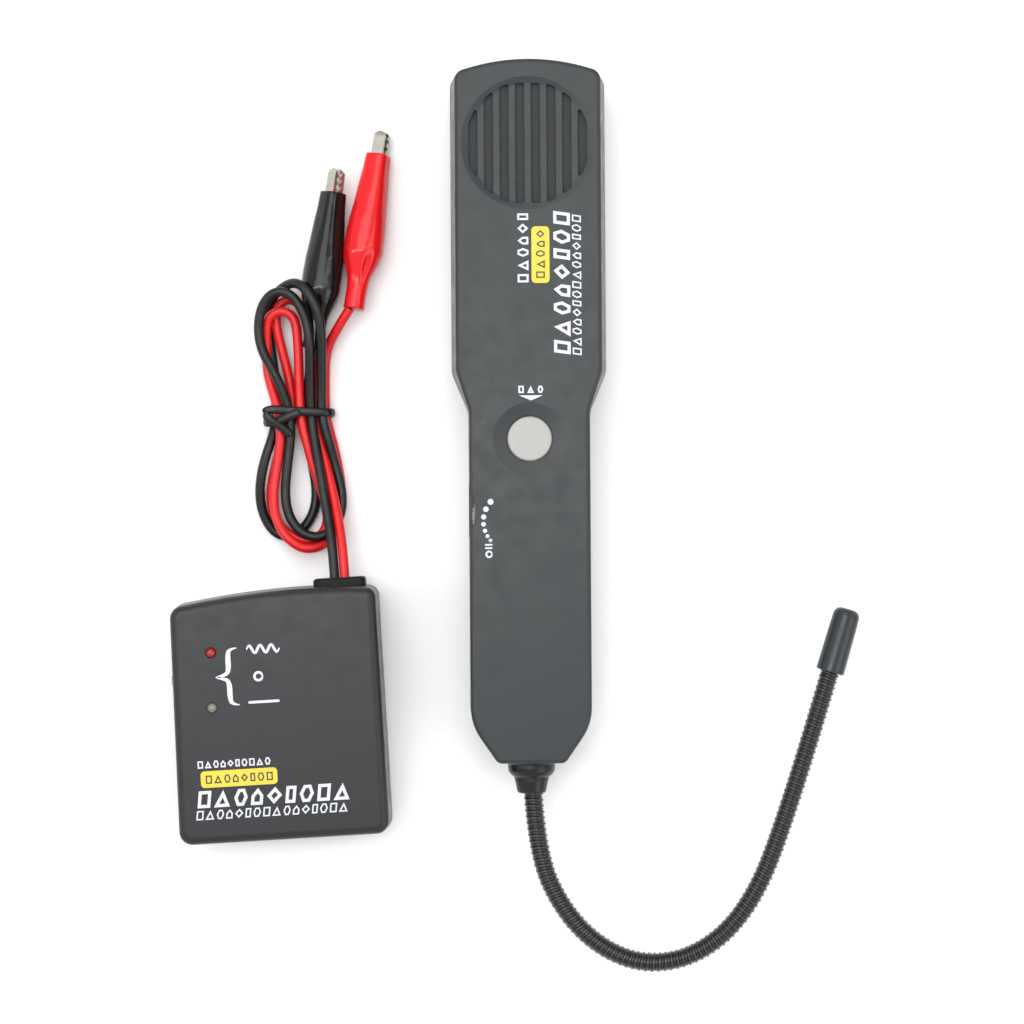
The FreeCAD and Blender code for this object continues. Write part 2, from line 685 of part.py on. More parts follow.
def lamp(centre):
    x, y = centre
    body = cylinder(x, y, 19.5, 25.8, LAMP_RADIUS)
    dome = Part.makeSphere(LAMP_RADIUS, Vector(x, y, 25.8))
    flange = cylinder(x, y, 19.5, 20.4, LAMP_RADIUS + 0.4)
    legs = [box(x + s - 0.25, x + s + 0.25, y - 0.25, y + 0.25, BOARD_TOP, 19.5) for s in (-0.7, 0.7)]
    return joined([body, dome, flange] + legs)


def mode_switch_body():
    x = SWITCH_X + 4.0
    return box(x, x + 4.7, SWITCH_Y - 5.5, SWITCH_Y + 5.5, BOARD_TOP, 22.4)


def mode_switch_knob():
    x = SWITCH_X
    knob = box(x, x + 3.95, SWITCH_Y - 1.4, SWITCH_Y + 1.4, SWITCH_Z - 1.3, SWITCH_Z + 1.3)
    grip = []
    for i in range(3):
        y = SWITCH_Y + (i - 1) * 0.85
        grip.append(box(x - 0.3, x + 0.3, y - 0.18, y + 0.18, SWITCH_Z - 1.4, SWITCH_Z + 1.4))
    return knob.cut(grip)


def transmitter_battery():
    half = BATTERY_LENGTH / 2
    return battery(-half - 2.0, half - 2.0, -34.3, -34.3 + BATTERY_WIDTH)


def transmitter_battery_snap():
    x0 = BATTERY_LENGTH / 2 - 2.0
    plate = box(x0, x0 + 3.2, -33.0, -9.0, 4.5, 17.5)
    studs = []
    for y in (-27.3, -14.7):
        studs.append(Part.makeCylinder(3.2, 1.8, Vector(x0 + 3.2, y, 11.0), Vector(1, 0, 0)))
    return joined([plate] + studs)


def transmitter_case_screws():
    return Part.makeCompound([case_screw(x, y, 1.6, 20.0) for x, y in BOX_SCREWS])


def lead_grommet(front, rear):
    """Rubber gland in the top edge: a block outside, a waist through the wall, a flange inside."""
    x = GROMMET_X
    z = LEAD_HEIGHT
    outside = box(x - 7.95, x + 7.95, 36.2, GROMMET_FACE, z - 4.6, z + 4.6)
    long_edges = [e for e in outside.Edges if abs(e.Length - (GROMMET_FACE - 36.2)) < 0.01]
    outside = outside.makeFillet(2.0, long_edges)
    end_faces = [f for f in outside.Faces if abs(f.CenterOfMass.y - GROMMET_FACE) < 0.001]
    outside = outside.makeFillet(0.9, end_faces[0].OuterWire.Edges)
    waist = box(x - 7.0, x + 7.0, 33.8, GROMMET_FACE - 2, z - 3.7, z + 3.7)
    flange = box(x - 5.5, x + 5.5, 32.9, 33.8, z - 2.4, z + 2.4)
    return joined([outside, waist, flange]).cut([front, rear])


# ================================================================ leads
BOX_PLACEMENT = Placement(Vector(BOX_X, BOX_Y, 0), Rotation(Vector(0, 0, 1), BOX_TURN))


def box_point(x, y, z):
    point = BOX_PLACEMENT.multVec(Vector(x, y, z))
    return (point.x, point.y, point.z)


def clip_placement(tip, heading, roll, pitch):
    """Frame of a clip: Y runs from the neck of the boot to the jaw tips, Z is the opening side."""
    turn = Rotation(Vector(0, 0, 1), -heading)
    nose_down = Rotation(Vector(1, 0, 0), -pitch)
    lean = Rotation(Vector(0, 1, 0), roll)
    rotation = turn.multiply(nose_down).multiply(lean)
    along = rotation.multVec(Vector(0, 1, 0))
    tip_z = CLIP_REST - (CLIP_LENGTH - CLIP_BELLY) * math.sin(math.radians(pitch))
    base = Vector(tip[0], tip[1], tip_z) - along * CLIP_LENGTH
    return Placement(base, rotation)


RED_CLIP = clip_placement(RED_CLIP_TIP, RED_CLIP_HEADING, RED_CLIP_ROLL, RED_CLIP_PITCH)
BLACK_CLIP = clip_placement(BLACK_CLIP_TIP, BLACK_CLIP_HEADING, BLACK_CLIP_ROLL, BLACK_CLIP_PITCH)


def clip_point(placement, distance, sideways=0.0):
    point = placement.multVec(Vector(sideways, distance, 0))
    return (point.x, point.y, point.z)


BLACK_TAIL_ROUTE = [
    box_point(BLACK_EXIT_X, GROMMET_FACE, LEAD_HEIGHT),
    box_point(BLACK_EXIT_X, GROMMET_FACE + 8.5, LEAD_HEIGHT),
    (-62.3, -29.5, 9.8),
    (-64.3, -17.5, 8.6),
    (-66.6, -4.8, 6.4),
]
RED_TAIL_ROUTE = [
    box_point(RED_EXIT_X, GROMMET_FACE, LEAD_HEIGHT),
    box_point(RED_EXIT_X, GROMMET_FACE + 8.5, LEAD_HEIGHT),
    (-59.2, -29.5, 9.0),
    (-62.0, -17.5, 6.4),
    (-65.4, -4.8, 3.2),
]
RED_CLIP_ROUTE = [
    (-63.0, 1.8, 3.6),
    (-63.1, 9.0, 3.2),
    (-62.9, 20.2, 3.6),
    (-58.2, 28.4, 6.4),
    clip_point(RED_CLIP, 0.0, -1.3),
]
BLACK_CLIP_ROUTE = [
    (-68.7, 1.8, 2.8),
    (-68.4, 7.6, 3.2),
    clip_point(BLACK_CLIP, -6.0),
    clip_point(BLACK_CLIP, 0.0),
]


def lead_hank(tie, clip_lead):
    """The folded leads as one solid, with a trough where the neck of the black clip's boot lies."""
    plate = rounded_plate(HANK_OUTLINE, 0, HANK_HEIGHT)
    plate = round_end_edges(plate, HANK_HEIGHT, HANK_ROUND)
    plate = round_end_edges(plate, 0, HANK_ROUND)
    widened = [(radius + 0.35, y) for radius, y in boot_profile()]
    envelope = spun([(0, -0.5)] + [(3.5, -0.5)] + widened + [(0, BOOT_LENGTH)], Vector(0, 0, 0), Vector(0, 1, 0))
    return plate.cut([tie, clip_lead, placed(envelope, BLACK_CLIP)])


def twist_tie():
    y0 = TIE_Y - TIE_WIDTH / 2
    y1 = TIE_Y + TIE_WIDTH / 2
    t = TIE_THICKNESS
    band = box(TIE_LEFT - t, TIE_RIGHT + t, y0, y1, 0, HANK_HEIGHT + t)
    hole = box(TIE_LEFT, TIE_RIGHT, y0 - 1, y1 + 1, t, HANK_HEIGHT)
    knot = cylinder_along_y(TIE_LEFT - t - 0.7, 4.2, TIE_Y - 2.6, TIE_Y + 2.2, 1.4)
    return joined([band, knot]).cut(hole)


# ================================================================ alligator clip, in its own frame
def boot_profile():
    """Outer radius of the boot at stations along its length."""
    return [(3.15, 0), (3.25, 0.6), (3.2, 6.5), (3.9, 10.8), (5.5, 15.0), (6.1, 20.0), (6.0, 23.0),
            (5.7, 28.0), (4.75, 36.6), (3.95, 44.0), (3.8, 47.8), (3.6, BOOT_LENGTH)]


def clip_boot():
    outside = boot_profile()
    inside = [(3.1, BOOT_LENGTH), (3.3, 44.0), (3.9, 36.6), (4.85, 28.0), (5.3, 23.0), (5.35, 20.0),
              (4.7, 15.0), (3.3, 11.6), (0.0, 11.6)]
    return spun([(0, 0)] + outside + inside, Vector(0, 0, 0), Vector(0, 1, 0))


def tooth_line(side):
    """Zigzag biting edge from the tip back to the pivot, on the upper (+1) or lower (-1) jaw."""
    points = []
    y = CLIP_LENGTH
    while y > CLIP_PIVOT + 7:
        points.append((y - 0.3, side * 0.12))
        points.append((y - TOOTH_PITCH / 2, side * (0.12 + TOOTH_DEPTH)))
        y -= TOOTH_PITCH
    return points


def jaw(side, half, sheet):
    """Folded-sheet jaw: a channel with toothed edges, an ear at the pivot and a handle behind."""
    profile = [
        (15.0, side * 3.3), (18.5, side * 4.3), (23.0, side * 4.2), (30.0, side * 3.7),
        (37.0, side * 2.9), (48.0, side * 1.9), (54.5, side * 1.7), (CLIP_LENGTH, side * 1.2),
    ]
    profile += tooth_line(side)
    profile += [
        (CLIP_PIVOT + 5.5, side * 0.3), (CLIP_PIVOT + 2.2, -side * 1.4), (CLIP_PIVOT, -side * 1.9),
        (CLIP_PIVOT - 2.2, -side * 1.4), (CLIP_PIVOT - 4.5, side * 1.6), (16.0, side * 2.4),
    ]
    points = [Vector(0, y, z) for y, z in profile]
    face = Part.Face(Part.makePolygon(points + [points[0]]))
    outer = face.extrude(Vector(2 * half, 0, 0))
    outer.translate(Vector(-half, 0, 0))
    inner = face.extrude(Vector(2 * (half - sheet), 0, 0))
    inner.translate(Vector(sheet - half, 0, -side * sheet))
    nose = cylinder(0, CLIP_LENGTH - half - 0.2, -8, 8, half + 0.2)
    body = box(-4, 4, 10, CLIP_LENGTH - half - 0.2, -8, 8)
    return outer.cut(inner).common(nose.fuse(body))


def pin_along_x(radius, half):
    return Part.makeCylinder(radius, 2 * half, Vector(-half, CLIP_PIVOT, 0), Vector(1, 0, 0))


def clip_lower_jaw():
    return jaw(-1, CLIP_HALF, CLIP_SHEET).cut(pin_along_x(CLIP_PIN_RADIUS - 0.03, 4))


def clip_upper_jaw():
    half = CLIP_HALF - CLIP_SHEET - 0.08
    return jaw(1, half, CLIP_SHEET).cut(pin_along_x(CLIP_PIN_RADIUS + 0.06, 4))


def clip_pivot():
    return pin_along_x(CLIP_PIN_RADIUS, CLIP_HALF + 0.25)


def clip_spring():
    coil = pin_along_x(1.9, 1.0).cut(pin_along_x(1.25, 2.0))
    legs = []
    for side, x in ((-1, -0.9), (1, 0.3)):
        profile = [(CLIP_PIVOT, 1.4), (CLIP_PIVOT, 1.85), (18.5, 3.45), (18.5, 3.0)]
        points = [Vector(x, y, side * z) for y, z in profile]
        face = Part.Face(Part.makePolygon(points + [points[0]]))
        legs.append(face.extrude(Vector(0.6, 0, 0)))
    return joined([coil] + legs)


# ================================================================ build and write
def build_nodes():
    nodes = {
        "receiver_front_shell": receiver_front_shell(),
        "receiver_rear_shell": receiver_rear_shell(),
        "receiver_battery_door": receiver_battery_door(),
        "speaker_frame": speaker_frame(),
        "speaker_cone": speaker_cone(),
        "speaker_magnet": speaker_magnet(),
        "test_button": test_button(),
        "test_button_switch": test_button_switch(),
        "receiver_circuit_board": receiver_circuit_board(),
        "receiver_board_components": receiver_board_components(),
        "sensitivity_potentiometer": sensitivity_potentiometer(),
        "sensitivity_wheel": sensitivity_wheel(),
        "wheel_screw": wheel_screw(),
        "receiver_battery": receiver_battery(),
        "receiver_battery_snap": receiver_battery_snap(),
        "receiver_case_screws": receiver_case_screws(),
        "probe_collar": Part.makeCompound([probe_collar(), probe_ferrule()]),
        "gooseneck_nut": gooseneck_nut(),
        "probe_tip_cap": probe_tip_cap(),
        "pickup_coil": pickup_coil(),
    }
    for name, edges in neck_pieces().items():
        nodes[name] = tube(edges, NECK_RADIUS)

    front = transmitter_front_shell()
    rear = transmitter_rear_shell()
    local = {
        "transmitter_front_shell": front,
        "transmitter_rear_shell": rear,
        "transmitter_battery_door": transmitter_battery_door(),
        "transmitter_circuit_board": transmitter_circuit_board(),
        "tone_generator_chip": chip(2.0, 12.0, BOARD_TOP, 10.0, 5.5),
        "red_lamp": lamp(RED_LAMP),
        "clear_lamp": lamp(CLEAR_LAMP),
        "mode_switch_body": mode_switch_body(),
        "mode_switch_knob": mode_switch_knob(),
        "transmitter_battery": transmitter_battery(),
        "transmitter_battery_snap": transmitter_battery_snap(),
        "transmitter_case_screws": transmitter_case_screws(),
        "lead_grommet": lead_grommet(front, rear),
    }
    for name, shape in local.items():
        nodes[name] = placed(shape, BOX_PLACEMENT)

    tie = twist_tie()
    nodes["twist_tie"] = tie
    clip_lead = tube(route_edges(BLACK_CLIP_ROUTE), LEAD_RADIUS)
    nodes["lead_hank"] = lead_hank(tie, clip_lead)
    nodes["black_lead_tail"] = tube(route_edges(BLACK_TAIL_ROUTE), LEAD_RADIUS)
    nodes["red_lead_tail"] = tube(route_edges(RED_TAIL_ROUTE), LEAD_RADIUS)
    nodes["black_clip_lead"] = clip_lead
    nodes["red_clip_lead"] = tube(route_edges(RED_CLIP_ROUTE), LEAD_RADIUS)

    clip = {
        "clip_boot": clip_boot(),
        "clip_lower_jaw": clip_lower_jaw(),
        "clip_upper_jaw": clip_upper_jaw(),
        "clip_pivot": clip_pivot(),
        "clip_spring": clip_spring(),
    }
    for colour, placement in (("red", RED_CLIP), ("black", BLACK_CLIP)):
        for name, shape in clip.items():
            nodes[colour + "_" + name] = placed(shape, placement)
    return nodes


def write_nodes(nodes):
    os.makedirs("parts", exist_ok=True)
    for name, shape in nodes.items():
        shape.exportStep("parts/" + name + ".step")
        box_size = shape.BoundBox
        state = "valid" if shape.isValid() else "NOT VALID"
        print(name, state, "solids", len(shape.Solids), "volume", round(shape.Volume, 1),
              "z", round(box_size.ZMin, 2), round(box_size.ZMax, 2))


def print_routes():
    routes = {
        "gooseneck": NECK_ROUTE,
        "black_lead_tail": BLACK_TAIL_ROUTE,
        "red_lead_tail": RED_TAIL_ROUTE,
        "black_clip_lead": BLACK_CLIP_ROUTE,
        "red_clip_lead": RED_CLIP_ROUTE,
    }
    for name, route in routes.items():
        edges = route_edges(route)
        length = sum(e.Length for e in edges)
        radii = [round(e.Curve.Radius, 1) for e in edges if hasattr(e.Curve, "Radius")]
        points = [tuple(round(c, 2) for c in p) for p in route]
        print(name, "length", round(length, 1), "bend radii", radii, "points", points)
    print("tube radii: gooseneck", NECK_RADIUS, "leads", LEAD_RADIUS)


def print_joint_places():
    neck = neck_pieces()
    for i in range(1, 6):
        edge = neck["gooseneck_flex_" + str(i)][0]
        middle = (edge.valueAt(edge.FirstParameter) + edge.valueAt(edge.LastParameter)) * 0.5
        heading = edge.tangentAt(edge.FirstParameter)
        print("flex", i, "centre", tuple(round(c, 3) for c in middle),
              "heading", tuple(round(c, 4) for c in heading), "length", round(edge.Length, 2))
    for name, placement in (("red", RED_CLIP), ("black", BLACK_CLIP)):
        pivot = placement.multVec(Vector(0, CLIP_PIVOT, 0))
        axis = placement.Rotation.multVec(Vector(1, 0, 0))
        print(name, "clip pivot", tuple(round(c, 3) for c in pivot), "axis", tuple(round(c, 4) for c in axis))
    slide = BOX_PLACEMENT.Rotation.multVec(Vector(0, 1, 0))
    print("transmitter local +Y", tuple(round(c, 5) for c in slide))


write_nodes(build_nodes())
print_routes()
print_joint_places()
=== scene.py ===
"""Looks for the wire tracer kit.
"""
import json
import math

import bmesh
import bpy
from mathutils import Matrix, Vector


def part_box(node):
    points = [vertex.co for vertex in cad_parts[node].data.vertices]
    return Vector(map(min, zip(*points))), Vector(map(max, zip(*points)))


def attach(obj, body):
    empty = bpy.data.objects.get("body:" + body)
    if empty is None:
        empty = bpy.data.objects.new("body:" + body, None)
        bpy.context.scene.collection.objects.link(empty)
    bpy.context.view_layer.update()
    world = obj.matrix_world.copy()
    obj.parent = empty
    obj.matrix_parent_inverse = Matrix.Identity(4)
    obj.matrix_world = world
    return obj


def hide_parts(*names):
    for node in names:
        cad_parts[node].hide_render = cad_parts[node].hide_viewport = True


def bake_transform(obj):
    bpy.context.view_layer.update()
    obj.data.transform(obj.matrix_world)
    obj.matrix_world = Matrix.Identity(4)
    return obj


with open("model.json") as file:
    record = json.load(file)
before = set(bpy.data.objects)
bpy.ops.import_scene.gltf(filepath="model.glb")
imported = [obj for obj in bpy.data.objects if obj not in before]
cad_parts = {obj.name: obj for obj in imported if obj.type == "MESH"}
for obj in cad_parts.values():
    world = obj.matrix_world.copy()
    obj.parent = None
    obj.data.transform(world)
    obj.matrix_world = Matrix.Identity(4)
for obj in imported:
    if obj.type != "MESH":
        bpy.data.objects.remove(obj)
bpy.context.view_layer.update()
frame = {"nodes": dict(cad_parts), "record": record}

MM = 0.001
UP = Vector((0, 0, 1))
scene = bpy.context.scene
nodes = frame["nodes"]


# ---------------------------------------------------------------- camera
CAMERA_HEIGHT = 0.8
CAMERA_PLACE = (-0.00545, -0.02996)
CAMERA_TURN = -0.00672
CAMERA_LENS = 90.47


def make_camera():
    lens = bpy.data.cameras.new("camera")
    lens.lens = CAMERA_LENS
    lens.sensor_width = 36
    lens.clip_start = 0.05
    camera = bpy.data.objects.new("camera", lens)
    camera.location = (*CAMERA_PLACE, CAMERA_HEIGHT)
    camera.rotation_euler = (0, 0, CAMERA_TURN)
    scene.collection.objects.link(camera)
    scene.camera = camera


# ---------------------------------------------------------------- cords
LEAD_RADIUS = 1.5 * MM

BLACK_TAIL = [
    (-0.05984, -0.04969, 0.0130),
    (-0.0603, -0.04121, 0.0130),
    (-0.0623, -0.0295, 0.0098),
    (-0.0643, -0.0175, 0.0086),
    (-0.0666, -0.0048, 0.0064),
]
BLACK_HANK = [
    (-0.0672, 0.0010, 0.0065),
    (-0.0674, 0.0080, 0.0076),
    (-0.0672, 0.0160, 0.0098),
    (-0.0671, 0.0220, 0.0113),
    (-0.0678, 0.0282, 0.0114),
    (-0.0698, 0.0334, 0.0112),
    (-0.0724, 0.0368, 0.0113),
    (-0.0758, 0.0384, 0.0111),
    (-0.0794, 0.0372, 0.0102),
    (-0.0820, 0.0336, 0.0092),
    (-0.0831, 0.0286, 0.0084),
    (-0.0829, 0.0236, 0.0080),
    (-0.0816, 0.0192, 0.0079),
    (-0.0792, 0.0150, 0.0078),
    (-0.0764, 0.0092, 0.0074),
    (-0.0742, 0.0028, 0.0066),
    (-0.0737, -0.0020, 0.0063),
    (-0.0735, -0.0056, 0.0062),
    (-0.0742, -0.0114, 0.0058),
    (-0.0751, -0.0186, 0.0058),
    (-0.0754, -0.0248, 0.0062),
    (-0.0744, -0.0302, 0.0068),
    (-0.0720, -0.0344, 0.0072),
    (-0.0686, -0.0369, 0.0072),
    (-0.0646, -0.0374, 0.0070),
    (-0.0608, -0.0352, 0.0064),
    (-0.0581, -0.0300, 0.0056),
    (-0.0578, -0.0246, 0.0052),
    (-0.0586, -0.0196, 0.0052),
    (-0.0602, -0.0142, 0.0052),
    (-0.0616, -0.0084, 0.0063),
    (-0.0632, -0.0026, 0.0065),
    (-0.0640, 0.0030, 0.0067),
    (-0.0638, 0.0090, 0.0076),
    (-0.0636, 0.0174, 0.0100),
    (-0.0634, 0.0250, 0.0122),
    (-0.0642, 0.0316, 0.0134),
    (-0.0668, 0.0370, 0.0136),
    (-0.0702, 0.0406, 0.0120),
    (-0.0738, 0.0408, 0.0086),
    (-0.0784, 0.0378, 0.0047),
    (-0.0810, 0.0332, 0.0027),
    (-0.0806, 0.0270, 0.0020),
    (-0.0798, 0.0200, 0.0016),
    (-0.0786, 0.0120, 0.0016),
    (-0.0784, 0.0040, 0.0024),
    (-0.0784, -0.0010, 0.0029),
    (-0.0792, -0.0056, 0.0036),
    (-0.0804, -0.0092, 0.0044),
    (-0.0820, -0.0140, 0.0046),
    (-0.0833, -0.0200, 0.0038),
    (-0.0835, -0.0260, 0.0028),
    (-0.0822, -0.0312, 0.0020),
    (-0.0798, -0.0352, 0.0016),
    (-0.0764, -0.0372, 0.0016),
    (-0.0724, -0.0366, 0.0016),
    (-0.0688, -0.0332, 0.0016),
    (-0.0664, -0.0282, 0.0018),
    (-0.0660, -0.0220, 0.0020),
    (-0.0672, -0.0150, 0.0020),
    (-0.0684, -0.0080, 0.0024),
    (-0.0689, -0.0020, 0.0029),
]
BLACK_CLIP_END = [
    (-0.0687, 0.0018, 0.0028),
    (-0.0684, 0.0076, 0.0032),
    (-0.06743, 0.0149, 0.00645),
    (-0.06659, 0.02084, 0.00645),
]
RED_TAIL = [
    (-0.05675, -0.04953, 0.0130),
    (-0.05721, -0.04104, 0.0130),
    (-0.0592, -0.0295, 0.0090),
    (-0.0620, -0.0175, 0.0064),
    (-0.0654, -0.0048, 0.0032),
]
RED_HANK = [
    (-0.0659, -0.0005, 0.0033),
    (-0.0658, 0.0040, 0.0022),
    (-0.0656, 0.0100, 0.0016),
    (-0.0652, 0.0170, 0.0016),
    (-0.0656, 0.0230, 0.0016),
    (-0.0676, 0.0274, 0.0016),
    (-0.0692, 0.0308, 0.0020),
    (-0.0704, 0.0344, 0.0030),
    (-0.0734, 0.0366, 0.0039),
    (-0.0768, 0.0352, 0.0041),
    (-0.0782, 0.0316, 0.0039),
    (-0.0779, 0.0276, 0.0037),
    (-0.0769, 0.0230, 0.0036),
    (-0.0755, 0.0175, 0.0035),
    (-0.0739, 0.0105, 0.0032),
    (-0.0730, 0.0040, 0.0029),
    (-0.0732, -0.0010, 0.0029),
    (-0.0750, -0.0055, 0.0026),
    (-0.0774, -0.0105, 0.0022),
    (-0.0792, -0.0170, 0.0019),
    (-0.0804, -0.0235, 0.0017),
    (-0.0796, -0.0294, 0.0020),
    (-0.0774, -0.0334, 0.0030),
    (-0.0746, -0.0360, 0.0048),
    (-0.0708, -0.0382, 0.0048),
    (-0.0669, -0.0384, 0.0043),
    (-0.0637, -0.0360, 0.0033),
    (-0.0624, -0.0316, 0.0032),
    (-0.0632, -0.0265, 0.0036),
    (-0.0650, -0.0205, 0.0048),
    (-0.0671, -0.0143, 0.0052),
    (-0.0684, -0.0090, 0.0054),
    (-0.0698, -0.0040, 0.0056),
    (-0.0705, 0.0010, 0.0057),
    (-0.0708, 0.0080, 0.0058),
    (-0.0709, 0.0160, 0.0062),
    (-0.0711, 0.0230, 0.0066),
    (-0.0716, 0.0284, 0.0069),
    (-0.0728, 0.0310, 0.0070),
    (-0.0749, 0.0323, 0.0071),
    (-0.0774, 0.0323, 0.0071),
    (-0.0795, 0.0310, 0.0068),
    (-0.0808, 0.0286, 0.0062),
    (-0.0810, 0.0224, 0.0049),
    (-0.0809, 0.0146, 0.0043),
    (-0.0796, 0.0092, 0.0047),
    (-0.0778, 0.0036, 0.0055),
    (-0.0771, -0.0010, 0.0059),
    (-0.0766, -0.0056, 0.0057),
    (-0.0774, -0.0127, 0.0054),
    (-0.0785, -0.0190, 0.0054),
    (-0.0791, -0.0250, 0.0057),
    (-0.0784, -0.0310, 0.0066),
    (-0.0758, -0.0364, 0.0075),
    (-0.0716, -0.0402, 0.0074),
    (-0.0672, -0.0410, 0.0068),
    (-0.0628, -0.0392, 0.0050),
    (-0.0598, -0.0348, 0.0032),
    (-0.0584, -0.0288, 0.0020),
    (-0.0582, -0.0226, 0.0017),
    (-0.0592, -0.0155, 0.0018),
    (-0.0609, -0.0078, 0.0024),
    (-0.0624, -0.0020, 0.0032),
]
RED_CLIP_END = [
    (-0.0630, 0.0018, 0.0036),
    (-0.0631, 0.0090, 0.0032),
    (-0.0629, 0.0202, 0.0036),
    (-0.0582, 0.0284, 0.0064),
    (-0.05499, 0.03304, 0.0074),
]


def smooth_curve(name, route):
    """One open spline that is drawn smoothly past the points of a route."""
    curve = bpy.data.curves.new(name, "CURVE")
    curve.dimensions = "3D"
    curve.resolution_u = 10
    spline = curve.splines.new("NURBS")
    spline.points.add(len(route) - 1)
    for point, place in zip(spline.points, route):
        point.co = (*place, 1)
    spline.order_u = 3
    spline.use_endpoint_u = True
    piece = bpy.data.objects.new(name, curve)
    scene.collection.objects.link(piece)
    return piece


def make_lead(name, route):
    """One lead as a single round cord."""
    lead = smooth_curve(name, route)
    lead.data.bevel_depth = LEAD_RADIUS
    lead.data.bevel_resolution = 5
    lead.data.use_fill_caps = True
    return lead


# ---------------------------------------------------------------- finishes
def paint(red, green, blue):
    """Linear colour of a shade given from 0 to 255 per channel."""
    def linear(value):
        share = value / 255
        return share / 12.92 if share <= 0.04045 else ((share + 0.055) / 1.055) ** 2.4
    return (linear(red), linear(green), linear(blue), 1)


def toned(shade, factor):
    """The shade made lighter or darker by a factor."""
    return (*(min(1, channel * factor) for channel in shade[:3]), 1)


# Scale at which the bands of a wave texture are one unit wide.
ONE_WAVE = math.tau / 20


class Finish:
    """One material's node tree, with short calls for the patterns that the finishes share."""

    def __init__(self, name, shade, roughness, **sockets):
        self.material = bpy.data.materials.new(name)
        self.material.use_nodes = True
        self.material.diffuse_color = shade
        self.tree = self.material.node_tree
        self.shader = self.tree.nodes["Principled BSDF"]
        self.shader.inputs["Base Color"].default_value = shade
        self.shader.inputs["Roughness"].default_value = roughness
        for socket, value in sockets.items():
            self.shader.inputs[socket.replace("_", " ")].default_value = value
        self.shade = shade
        self.colour = None
        self.normal = None
        self.place = self.node("ShaderNodeTexCoord").outputs["Object"]

    def node(self, kind, **settings):
        made = self.tree.nodes.new(kind)
        for name, value in settings.items():
            setattr(made, name, value)
        return made

    def join(self, source, target):
        self.tree.links.new(source, target)

    def scaled_place(self, size, stretch):
        mapping = self.node("ShaderNodeMapping")
        mapping.inputs["Scale"].default_value = [share / size for share in stretch]
        self.join(self.place, mapping.inputs["Vector"])
        return mapping.outputs["Vector"]

    def noise(self, size, detail=3, stretch=(1, 1, 1)):
        """Cloudy pattern with blobs of about that size."""
        texture = self.node("ShaderNodeTexNoise")
        texture.inputs["Scale"].default_value = 1
        texture.inputs["Detail"].default_value = detail
        self.join(self.scaled_place(size, stretch), texture.inputs["Vector"])
        return texture.outputs["Fac"]

    def cells(self, size, stretch=(1, 1, 1)):
        """Rounded cells of about that size."""
        texture = self.node("ShaderNodeTexVoronoi")
        texture.inputs["Scale"].default_value = 1
        self.join(self.scaled_place(size, stretch), texture.inputs["Vector"])
        return texture.outputs["Distance"]

    def stripes(self, pitch, direction):
        """Soft bands of that pitch across the X, Y or Z direction."""
        texture = self.node("ShaderNodeTexWave", bands_direction=direction)
        texture.inputs["Scale"].default_value = ONE_WAVE
        self.join(self.scaled_place(pitch, (1, 1, 1)), texture.inputs["Vector"])
        return texture.outputs["Fac"]

    def levels(self, value, low, high, start=0.3, end=0.7):
        """Stretches the part of a pattern between start and end to the range low to high."""
        remap = self.node("ShaderNodeMapRange")
        limits = {"From Min": start, "From Max": end, "To Min": low, "To Max": high}
        for socket, number in limits.items():
            remap.inputs[socket].default_value = number
        self.join(value, remap.inputs["Value"])
        return remap.outputs["Result"]

    def tint(self, amount, shade):
        """Mixes a shade into the colour wherever amount is near 1."""
        mix = self.node("ShaderNodeMix", data_type="RGBA")
        first, second = mix.inputs[6], mix.inputs[7]
        first.default_value = self.shade
        second.default_value = shade
        if self.colour is not None:
            self.join(self.colour, first)
        self.join(amount, mix.inputs[0])
        self.colour = mix.outputs[2]
        self.join(self.colour, self.shader.inputs["Base Color"])

    def rough(self, value, low, high):
        self.join(self.levels(value, low, high), self.shader.inputs["Roughness"])

    def raise_by(self, value, height):
        """Small relief of that height."""
        bump = self.node("ShaderNodeBump")
        bump.inputs["Strength"].default_value = 1
        bump.inputs["Distance"].default_value = height
        self.join(value, bump.inputs["Height"])
        if self.normal is not None:
            self.join(self.normal, bump.inputs["Normal"])
        self.normal = bump.outputs["Normal"]
        self.join(self.normal, self.shader.inputs["Normal"])

    def soft_edges(self, radius):
        """Rounds the sharp edges by that radius, and returns how near an edge each place is."""
        bevel = self.node("ShaderNodeBevel", samples=4)
        bevel.inputs["Radius"].default_value = radius
        facing = self.node("ShaderNodeVectorMath", operation="DOT_PRODUCT")
        self.join(bevel.outputs["Normal"], facing.inputs[0])
        self.join(self.node("ShaderNodeNewGeometry").outputs["Normal"], facing.inputs[1])
        self.normal = bevel.outputs["Normal"]
        self.join(self.normal, self.shader.inputs["Normal"])
        return self.levels(facing.outputs["Value"], 1, 0, 0.75, 0.985)


def moulded(name, shade, roughness=0.34, relief=0.004 * MM, wear=1.3):
    """Injection-moulded plastic with a fine grain, uneven gloss and edges rubbed a little paler."""
    finish = Finish(name, shade, roughness, Specular_IOR_Level=0.25)
    near_edge = finish.soft_edges(0.3 * MM)
    finish.tint(finish.levels(finish.noise(26 * MM), 0, 1), toned(shade, 1.04))
    finish.tint(finish.levels(finish.noise(0.5 * MM, 2), 0, 0.5), toned(shade, 0.9))
    finish.tint(near_edge, toned(shade, wear))
    finish.rough(finish.noise(5 * MM, 5), roughness - 0.06, roughness + 0.07)
    finish.raise_by(finish.noise(0.35 * MM, 2), relief)
    return finish.material


